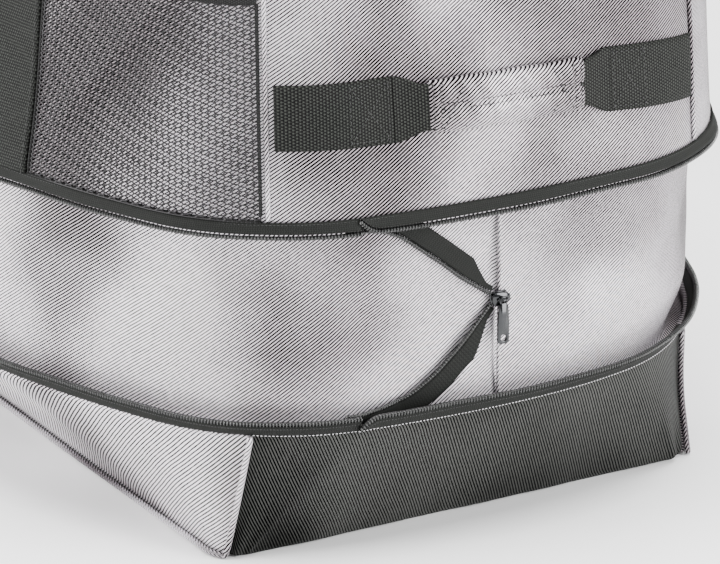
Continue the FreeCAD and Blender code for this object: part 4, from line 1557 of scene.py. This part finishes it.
@dataclass
class EndHandle(SubAssembly):
    """Grab handle of one end: sewn stubs, loose legs and a stitched wrap."""

    end: int = 1
    centre: float = 47.0
    webbing: float = 32.0
    narrow: float = 22.4
    half: float = 43.0
    leg: float = 17.0
    wrap_tall: float = 26.0
    wrap_back: float = 2.1
    stitch_face: float = 4.95
    tack: tuple[float, float] = (25, 36)
    rows: tuple[float, float] = (37.5, 41.0)
    table: tuple[Array, Array] | None = None

    @property
    def name(self) -> str:
        """Which end."""
        return "right" if self.end > 0 else "left"

    @property
    def level(self) -> float:
        """Level of the handle's middle, in millimetres."""
        return self.bag.high / MM + self.centre

    def on_end(self, points: Array, offset: Array) -> Array:
        """Points on the end from (Y, level) pairs and offsets, in millimetres."""
        bag = self.bag
        if self.table is None:
            places = spread(-0.14, 0.14, 700) + (0.0 if self.end > 0 else 0.5)
            y = bag.at(places, self.level * MM, 0.0)[:, 1] / MM
            order = np.argsort(y)
            self.table = (y[order], places[order])
        places = np.interp(points[..., 0], *self.table)
        droop = np.interp(points[..., 0] * self.end, (-115, -44, 44, 61, 115), (2.0, 1.0, -1.0, -3.0, -9.0))
        return bag.at(places, (points[..., 1] + droop) * MM, np.asarray(offset, float) * MM)

    def build(self) -> None:
        """Make the stubs, legs, wrap and stitches."""
        for side, place in ((-1, "front"), (1, "back")):
            self._stub(side, place)
            self._leg(side, place)
        self._wrap()
        self._wrap_stitches()

    def _ribbon(self, name: str, y: Array, half_tall: Array, out: Array, thick: float) -> bpy.types.Object:
        """Webbing along Y whose height and offset vary, without a body yet.

        Args:
            name: the piece's name.
            y: places along, in millimetres.
            half_tall: half height at each place.
            out: outer offset at each place.
            thick: thickness.

        Returns:
            The piece.
        """
        rows = spread(-1, 1, 12)
        if (y[-1] - y[0]) * self.end < 0:
            y, half_tall, out = y[::-1], half_tall[::-1], out[::-1]
        grid = pairs(y[:, None], self.level + rows[None, :] * half_tall[:, None])
        crown = out[:, None] + 0.3 * np.cos(rows * math.pi / 2)[None, :]
        outer, inner = self.on_end(grid, crown), self.on_end(grid, crown - thick)
        uvs = np.stack([grid[..., 0] * MM, (grid[..., 1] - self.level) * MM], -1)
        return self.maker.slab(name, outer, inner, uvs, Look.WEB_FLAT, "")

    def _stub(self, side: int, place: str) -> None:
        """Webbing sewn flat from the seam inwards.

        Args:
            side: -1 towards the front, 1 towards the back.
            place: front or back.
        """
        bag = self.bag
        seam = abs(float(bag.at(bag.seam("back_right"), self.level * MM, FACE * MM)[1])) / MM
        y = side * spread(seam - 2.2, self.half + self.leg + 0.4, 40)
        half_tall, out = np.full(40, self.webbing / 2), np.full(40, 0.8)
        stub = self._ribbon(f"{self.name}_{place}_stub", y, half_tall, out, 1.9)
        self.maker.place(stub, Look.WEB_FLAT, "upper", [f"{self.name}_handle_stub_{place}"])
        inner = self.half + self.leg + 3.0
        far, tall = inner + 20, 13.5
        box = np.array([(inner, -tall), (inner, tall), (far, tall), (far, -tall), (inner, -tall),
                        (far, tall)])
        cross = np.array([(inner, tall), (far, -tall)])
        paths = []
        for corners in (box, cross):
            legs = zip(corners, corners[1:])
            line = np.concatenate([spread(0, 1, 14)[:, None] * (b - a) + a for a, b in legs])
            paths.append(self.on_end(line * np.array([side, 1]) + np.array([0, self.level]),
                                     np.full(len(line), 1.1)))
        self.repeater.line(f"{self.name}_{place}_stub_stitches", paths, 3.2 * MM,
                           LONG_STITCH, Look.THREAD_DARK, "upper")

    def _leg(self, side: int, place: str) -> None:
        """Loose webbing that rises from the stub to the wrap and narrows.

        Args:
            side: -1 towards the front, 1 towards the back.
            place: front or back.
        """
        start, stop = self.half + self.leg + 0.6, self.half - 4.0
        share = spread(0, 1, 26)
        ease = share * share * (3 - 2 * share)
        y = side * (start + (stop - start) * share)
        tall = self.webbing / 2 + (self.narrow / 2 - self.webbing / 2) * np.clip(ease * 1.3, 0, 1)
        out = 1.0 + 2.7 * ease
        leg = self._ribbon(f"{self.name}_{place}_leg", y, tall, out, 1.9)
        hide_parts(f"{self.name}_grip_webbing")
        at_stub = self.on_end(np.array([side * start, self.level]), 1.0)
        at_wrap = self.on_end(np.array([side * (self.half + 1.0), self.level]), 1.0)
        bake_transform(leg)

    def _wrap(self) -> None:
        """Stitched cloth wrap round the middle."""
        y = spread(-self.half, self.half, 90)
        if self.end < 0:
            y = y[::-1]
        turns = turns_of(56)
        near_end = np.clip((self.half - np.abs(y)) / 3.5, 0, 1) ** 0.5
        tall = (self.wrap_tall / 2 - 0.7 + 0.7 * near_end + 0.25 * np.sin(y * 0.21))[:, None]
        up = squarer(np.cos(turns), 0.6)
        out = squarer(np.sin(turns), 0.85)
        level = up[None, :] * tall
        front = (out > 0)[None, :]
        seam = 0.75 * bell(level, 0.8) * front
        first, last = self.rows
        rows = 0.35 * (bell(np.abs(y) - first, 0.9) + bell(np.abs(y) - last, 0.9))[:, None] * front
        thick = (2.1 + 0.9 * near_end)[:, None]
        offset = self.wrap_back + out[None, :] * thick - seam - rows
        offset = offset + 0.18 * np.sin(y[:, None] * 0.55 + level * 0.3) * front
        grid = pairs(y[:, None], self.level + level)
        rings = self.on_end(grid, offset)
        self.maker.sleeve(f"{self.name}_handle_wrap", rings, grid * MM, f"{self.name}_end_handle",
                          f"{self.name}_grip_wrap")

    def _wrap_stitches(self) -> None:
        """Stitch rows at both ends of the wrap, an X tack at each, and the middle seam's stitches."""
        tall = self.wrap_tall / 2 - 2.5
        near, far = self.tack
        paths = []
        for side in (-1, 1):
            for y in self.rows:
                paths.append([(side * y, -tall), (side * y, tall)])
            paths.append([(side * near, -tall), (side * far, tall)])
            paths.append([(side * near, tall), (side * far, -tall)])
        for way in (-1.5, 1.5):
            paths.append([(-far, way), (far, way)])
        lines = []
        for ends in paths:
            first, last = np.array(ends[0]), np.array(ends[1])
            line = first + spread(0, 1, 30)[:, None] * (last - first)
            bulge = 1 - 0.28 * (np.abs(line[:, 1]) / (self.wrap_tall / 2)) ** 3
            out = self.wrap_back + (self.stitch_face - self.wrap_back) * bulge
            lines.append(self.on_end(line + np.array([0, self.level]), out))
        self.repeater.line(f"{self.name}_wrap_stitches", lines, 2.4 * MM, (1.6 * MM, 0.55 * MM, 0.5 * MM),
                           Look.THREAD_DARK, f"{self.name}_end_handle")


@dataclass
class TopAndLid(SubAssembly):
    """Flat border round the opening, the zipped lid inside it and its zip."""

    cloth: float = 2.0
    border: float = 27.0
    tape: float = 6.0
    coil: float = 1.8
    gap: float = 0.4
    hinge: float = 122.0
    crown: float = 4.0

    def ring(self, places: Array, offset: float, level: float = 0.0) -> Array:
        """Points on the top at an offset, in millimetres."""
        return self.bag.at(places, self.bag.top + level * MM, offset * MM)

    def build(self) -> None:
        """Make the border, both zip halves and the lid."""
        edge = FACE - self.border
        full = np.linspace(0, 1, 480, endpoint=False)
        self._band("top_border_cloth", full, PANEL_FACE, edge, (0.1, 1.9), Look.GREY, "upper",
                   ["top_border"], True)
        rim = self.ring(full, -1.6, 0.9)
        self.maker.tube("rim_welt", rim, 1.6 * MM, Look.GREY, "upper", closed=True)
        self._back_cloth(edge)
        ahead = self._ahead(edge)
        self._band("border_tape_band", ahead, edge + 3, edge - self.tape, (1.2, 2.3), Look.TAPE, "upper",
                   ["border_zip_tape"])
        middle = edge - self.tape - self.coil / 2
        self._teeth("border_coil", ahead, middle, "upper", "border_zip_coil")
        lid_edge = edge - self.tape - self.coil - self.gap
        inner = self._ahead(lid_edge - self.coil - self.tape)
        self._teeth("lid_coil", inner, lid_edge - self.coil / 2, "lid", "lid_zip_coil")
        self._band("lid_tape_band", inner, lid_edge - self.coil, lid_edge - self.coil - self.tape - 3,
                   (1.2, 2.3), Look.TAPE, "lid", ["lid_zip_tape"])
        self._lid(lid_edge - self.coil - self.tape)
        rows = [self.ring(ahead, edge + 1.2, 2.35)]
        self.repeater.line("border_stitches", rows, 3.4 * MM, LONG_STITCH, Look.THREAD_DARK,
                           "upper")

    def _limit(self, offset: float, y: float) -> float:
        """Place near the right end where the ring at an offset reaches a Y, in millimetres."""
        table = spread(0.02, 0.25, 500)
        return float(np.interp(y, self.ring(table, offset)[:, 1] / MM, table))

    def _ahead(self, offset: float) -> Array:
        """Places whose ring point lies ahead of the hinge line."""
        limit = self._limit(offset, self.hinge)
        return spread(0.5 - limit, 1 + limit, 420)

    def _band(self, name: str, places: Array, outer: float, inner: float, levels: tuple[float, float],
              look: Look, body: str, nodes: Iterable[str], closed: bool = False) -> None:
        """Flat band round the top.

        Args:
            name: the piece's name.
            places: places round the bag.
            outer: outer edge's offset, in millimetres.
            inner: inner edge's offset.
            levels: underside and top above the rim.
            look: its finish.
            body: its body.
            nodes: CAD nodes that it stands for.
            closed: it runs all the way round.
        """
        offsets = spread(outer, inner, 10)
        grid = places[:, None]
        wave = 0.25 * np.sin(self.bag.length(grid) * 60) * np.sin(spread(0, math.pi, 10))[None, :]
        top = self.bag.at(grid, self.bag.top + (levels[1] + wave) * MM, offsets[None, :] * MM)
        low = self.bag.at(grid, self.bag.top + (levels[0] + wave) * MM, offsets[None, :] * MM)
        uvs = pairs(self.bag.length(grid), -offsets[None, :] * MM)
        self.maker.slab(name, top, low, uvs, look, body, nodes, closed)

    def _back_cloth(self, edge: float) -> None:
        """Fixed cloth behind the hinge line."""
        limit = self._limit(edge, self.hinge + 1.0)
        places = spread(limit, 0.5 - limit, 90)
        far = self.ring(places, edge + 1.0)
        near = far.copy()
        near[:, 1] = (self.hinge + 0.6) * MM
        share = spread(0, 1, 12)[None, :, None]
        grid = far[:, None, :] + share * (near - far)[:, None, :]
        top, low = grid.copy(), grid.copy()
        top[..., 2] = self.bag.top + 1.8 * MM
        low[..., 2] = self.bag.top + 0.1 * MM
        self.maker.slab("top_back_cloth", top, low, grid[..., :2], Look.GREY, "upper", ["top_border"])

    def _teeth(self, name: str, places: Array, offset: float, body: str, node: str) -> None:
        """Coil of the lid zip.

        Args:
            name: the piece's name.
            places: places round the bag.
            offset: the coil's offset, in millimetres.
            body: its body.
            node: the CAD node that it stands for.
        """
        path = self.ring(places, offset, 1.5)
        self.maker.tube(f"{name}_core", path, 0.55 * MM, Look.COIL, body, [node], sides=6)
        self.repeater.line(f"{name}_row", [path], 1.5 * MM, (1.3 * MM, 1.7 * MM, 1.5 * MM), Look.COIL, body)

    def _lid(self, offset: float) -> None:
        """Crowned lid cloth."""
        front = self.ring(spread(0.5, 1.0, 900), offset) / MM
        back = self.ring(spread(0.5, 0.0, 900), offset) / MM
        reach = float(front[:, 0].max()) - 0.4
        x = reach * np.sin(spread(-math.pi / 2 * 0.985, math.pi / 2 * 0.985, 150))
        low_y = np.interp(x, front[:, 0], front[:, 1])
        high_y = np.minimum(np.interp(x, back[:, 0], back[:, 1]), self.hinge)
        share = spread(0, 1, 70)
        y = low_y[:, None] + share[None, :] * (high_y - low_y)[:, None]
        grid_x = np.broadcast_to(x[:, None], y.shape)
        edge = np.minimum(np.minimum(y - low_y[:, None], high_y[:, None] - y), reach - np.abs(grid_x)) / 45
        lift = self.crown * np.clip(edge, 0, 1) ** 0.7
        lift = lift + 0.5 * np.clip(edge, 0, 1) * np.sin(grid_x * 0.031 + y * 0.022) * np.sin(y * 0.045)
        top = np.stack([grid_x * MM, y * MM, self.bag.top + (1.7 + lift) * MM], -1)
        low = top.copy()
        low[..., 2] -= 1.5 * MM
        piece = self.maker.slab("lid_cloth", top, low, top[..., :2], Look.GREY, "lid", ["lid_panel"])


@dataclass
class Hardware(SubAssembly):
    """Zip sliders and their pulls."""

    long: float = 10.6
    wide: float = 7.8
    thick: float = 3.4
    floor: float = 1.0
    roof: float = 1.2
    bail: float = 2.6
    bail_wire: float = 0.6
    ring: float = 1.7
    ring_wire: float = 0.55
    pull_long: float = 23.0
    pull_wide: float = 6.4
    pull_thick: float = 1.4
    hole: float = 1.6
    pull_rise: float = 1.4
    lid_y: float = -150.39
    park: float = 7.0

    def build(self) -> None:
        """Make the three sliders and pulls."""
        low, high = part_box("expansion_slider")
        centre = Vector((low.x, 0.0, (low.z + high.z) / 2)) / MM
        self._pair("expansion", "zip_slider", "zip_pull", centre, Vector((1, 0, 0)), Vector((0, -1, 0)),
                   Vector((0, 0, -1)), ("expansion_slider", "expansion_pull"))
        for way, hand, tail in ((1, "right", "r"), (-1, "left", "l")):
            low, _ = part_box(f"lid_slider_{hand}")
            centre = Vector((way * self.park, self.lid_y, low.z / MM))
            self._pair(f"lid_{hand}", f"lid_slider_{tail}", f"lid_pull_{tail}", centre, Vector((0, 0, 1)),
                       Vector((way, 0, 0)), Vector((way, 0, 0)), (f"lid_slider_{hand}", f"lid_pull_{hand}"))

    def _frame(self, centre: Vector, out: Vector, nose: Vector) -> Callable[[Array], Array]:
        """Map from local millimetres (along, across, out) to the frame in metres."""
        across = out.cross(nose)
        basis = np.array([tuple(nose), tuple(across), tuple(out)])
        origin = np.array(tuple(centre))

        def place(points: Array) -> Array:
            return (np.asarray(points, float) @ basis + origin) * MM

        return place

    def _pair(self, name: str, slider_body: str, pull_body: str, centre: Vector, out: Vector, nose: Vector,
              hang: Vector, nodes: tuple[str, str]) -> None:
        """One slider with its pull.

        Args:
            name: base of the pieces' names.
            slider_body: the slider's body.
            pull_body: the pull's body.
            centre: middle of the slider's underside, in millimetres.
            out: direction away from the zip.
            nose: direction of the slider's length.
            hang: direction in which the pull lies.
            nodes: CAD nodes of the slider and the pull.
        """
        place = self._frame(centre, out, nose)
        outline = self._shield(self.long / 2, self.wide / 2)
        low = self._plate(outline, 0.0, self.floor)
        high = self._plate(outline * np.array([0.96, 0.94]), self.thick - self.roof, self.thick)
        post = self._plate(self._round_box(1.2, 1.6, 0.5), 0.9, self.thick - 1.1)
        bail = self._arch(self.bail, self.thick - 0.3, self.bail, self.bail_wire)
        wall = self._round_box(self.long / 2 - 1.6, 0.45, 0.4)
        walls = [self._plate(wall + np.array([0.6, side * (self.wide / 2 - 0.5)]), self.thick - 2.2,
                             self.thick - 1.0) for side in (-1, 1)]
        self._join(f"{name}_slider_body", [low, high, post, bail, *walls], place, Look.METAL, slider_body,
                   [nodes[0]])
        pivot = centre + out * (self.thick + self.pull_rise)
        hung = self._frame(pivot, out, hang)
        tab = self._tab()
        ring = self._arch_ring(self.ring, self.ring_wire)
        self._join(f"{name}_pull_tab", [tab, ring], hung, Look.METAL, pull_body, [nodes[1]])

    def _shield(self, half_long: float, half_wide: float) -> Array:
        """Outline of a slider plate: broad at the front and waisted at the tail."""
        turn = turns_of(48)
        x = squarer(np.cos(turn), 0.7) * half_long
        y = squarer(np.sin(turn), 0.6) * half_wide
        narrow = 1 - 0.28 * (0.5 - 0.5 * x / half_long) ** 1.5
        return np.stack([x, y * narrow], -1)

    def _round_box(self, half_long: float, half_wide: float, corner: float) -> Array:
        """Outline of a box with rounded corners."""
        points = []
        for x, y, start in ((1, 1, 0), (-1, 1, 90), (-1, -1, 180), (1, -1, 270)):
            for turn in spread(start, start + 90, 7):
                angle = math.radians(turn)
                points.append((x * (half_long - corner) + corner * math.cos(angle),
                               y * (half_wide - corner) + corner * math.sin(angle)))
        return np.array(points)

    def _plate(self, outline: Array, low: float, high: float) -> tuple[Array, Faces]:
        """Flat plate with softened edges from an outline."""
        soft = min(0.35, (high - low) * 0.3)
        centre = outline.mean(0)
        size = np.abs(outline - centre).max()
        shrink = 1 - soft / size
        inner = centre + (outline - centre) * shrink
        levels = [(inner, low), (outline, low + soft), (outline, high - soft), (inner, high)]
        return lofted(levels, False)

    def _arch(self, half: float, base: float, rise: float, wire: float) -> tuple[Array, Faces]:
        """Bail: a wire arch over the slider."""
        turn = spread(0, math.pi, 22)
        path = np.stack([half * np.cos(turn), np.zeros(22), base + rise * np.sin(turn) ** 0.7], -1)
        return round_wire(path, wire, 8, False, (0.0, 1.0, 0.0))

    def _arch_ring(self, radius: float, wire: float) -> tuple[Array, Faces]:
        """Ring at the top of the pull, which goes round the bail."""
        turn = turns_of(26)
        path = np.stack([radius * np.cos(turn) + 0.6, radius * 1.1 * np.sin(turn), np.zeros(26)], -1)
        return round_wire(path, wire, 8, True, (0.0, 0.0, 1.0))

    def _tab(self) -> tuple[Array, Faces]:
        """Pull tab with a round hole near its end."""
        half = self.pull_wide / 2
        start, stop = 1.6, self.pull_long
        box = self._round_box((stop - start) / 2, half, half * 0.62) + np.array([(start + stop) / 2, 0.0])
        dense = []
        for first, second in zip(box, np.roll(box, -1, 0)):
            steps = max(1, int(np.linalg.norm(second - first) / 0.9))
            dense += [first + (second - first) * s / steps for s in range(steps)]
        outer = np.array(dense)
        taper = 1 - 0.26 * np.clip((start + 11 - outer[:, 0]) / 11, 0, 1)
        outer[:, 1] *= taper
        centre = np.array([stop - 2 * self.hole, 0.0])
        ray = outer - centre
        ray /= np.linalg.norm(ray, axis=1)[:, None]
        inner = centre + ray * self.hole
        half_thick, soft = self.pull_thick / 2, 0.3
        loops = [(outer - ray * soft, -half_thick), (outer, -half_thick + soft), (outer, half_thick - soft),
                 (outer - ray * soft, half_thick), (inner + ray * soft, half_thick),
                 (inner, half_thick - soft), (inner, -half_thick + soft), (inner + ray * soft, -half_thick)]
        return lofted(loops, True)

    def _join(self, name: str, parts: Sequence[tuple[Array, Faces]],
              place: Callable[[Array], Array], look: Look, body: str, nodes: Iterable[str]) -> None:
        """Join shapes into one piece with outward faces."""
        points, faces, start = [], [], 0
        for shape, polygons in parts:
            points.append(place(shape))
            faces += [tuple(index + start for index in polygon) for polygon in polygons]
            start += len(shape)
        piece = self.maker.finish(name, np.concatenate(points), faces, None, look, body, nodes)
        tidy_normals(piece)


# ---------------------------------------------------------------- studio

@dataclass
class Studio:
    """Floor, lights and camera."""

    azimuth: float = 60.2
    elevation: float = 20.5
    lens: float = 260.0
    distance: float = 2.512
    aim: tuple[float, float, float] = (0.265, -0.138, 0.1005)
    aside: float = 0.0659
    above: float = 0.0441

    def build(self) -> None:
        """Make all of it."""
        self._floor()
        self._world()
        self._camera()
        self._light("left_panel", (-0.5, -2.3, 0.95), (1.3, 1.9), 150.0)
        self._light("right_panel", (2.2, 1.35, 0.95), (1.3, 1.9), 150.0)
        self._light("top_panel", (0.2, 0.1, 2.8), (2.4, 2.4), 230.0)

    def _floor(self) -> None:
        """Plain pale floor."""
        finish = Finish("floor_paper", roughness=0.9)
        finish.colour((0.94, 0.94, 0.94))
        mesh = bpy.data.meshes.new("floor_sheet")
        mesh.from_pydata([(-9, -9, 0), (9, -9, 0), (9, 9, 0), (-9, 9, 0)], [], [(0, 1, 2, 3)])
        floor = bpy.data.objects.new("floor_sheet", mesh)
        floor.data.materials.append(finish.material)
        bpy.context.scene.collection.objects.link(floor)

    def _world(self) -> None:
        """Even white surroundings."""
        world = bpy.data.worlds.new("studio_air")
        world.use_nodes = True
        world.node_tree.nodes["Background"].inputs["Color"].default_value = (1, 1, 1, 1)
        world.node_tree.nodes["Background"].inputs["Strength"].default_value = 0.22
        bpy.context.scene.world = world

    def _light(self, name: str, place: tuple[float, float, float], size: tuple[float, float],
               power: float) -> None:
        """Rectangular soft light that faces the bag."""
        data = bpy.data.lights.new(name, "AREA")
        data.shape = "RECTANGLE"
        data.size, data.size_y = size
        data.energy = power
        light = bpy.data.objects.new(name, data)
        light.location = place
        aim = Vector((0.2, -0.1, 0.15)) - Vector(place)
        light.rotation_euler = aim.to_track_quat("-Z", "Y").to_euler()
        bpy.context.scene.collection.objects.link(light)

    def _camera(self) -> None:
        """Long lens near the front right corner."""
        turn, tilt = math.radians(self.azimuth), math.radians(self.elevation)
        back = Vector((math.sin(turn) * math.cos(tilt), -math.cos(turn) * math.cos(tilt), math.sin(tilt)))
        right = Vector((math.cos(turn), math.sin(turn), 0))
        up = back.cross(right)
        data = bpy.data.cameras.new("camera")
        data.lens = self.lens
        data.sensor_width = 36.0
        data.clip_end = 60.0
        camera = bpy.data.objects.new("camera", data)
        aim = Vector(self.aim) + right * self.aside + up * self.above
        camera.location = aim + back * self.distance
        camera.rotation_euler = back.to_track_quat("Z", "Y").to_euler()
        bpy.context.scene.collection.objects.link(camera)
        bpy.context.scene.camera = camera


def main() -> None:
    """Build the bag and its studio."""
    logging.basicConfig(level=logging.INFO, format="%(message)s")
    wardrobe = Wardrobe()
    surface = BagSurface()
    maker = Maker(wardrobe, surface)
    repeater = Repeater(maker)
    Studio().build()
    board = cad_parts["base_board"]
    board.data.materials.clear()
    board.data.materials.append(wardrobe.looks[Look.BOARD])
    for kind in (BaseTray, ExpansionZip, Gusset, UpperBody, NetPocket, CarryStraps):
        kind(maker, repeater).build()
    for end in (1, -1):
        EndHandle(maker, repeater, end=end).build()
    TopAndLid(maker, repeater).build()
    Hardware(maker, repeater).build()


if __name__ == "__main__":
    main()
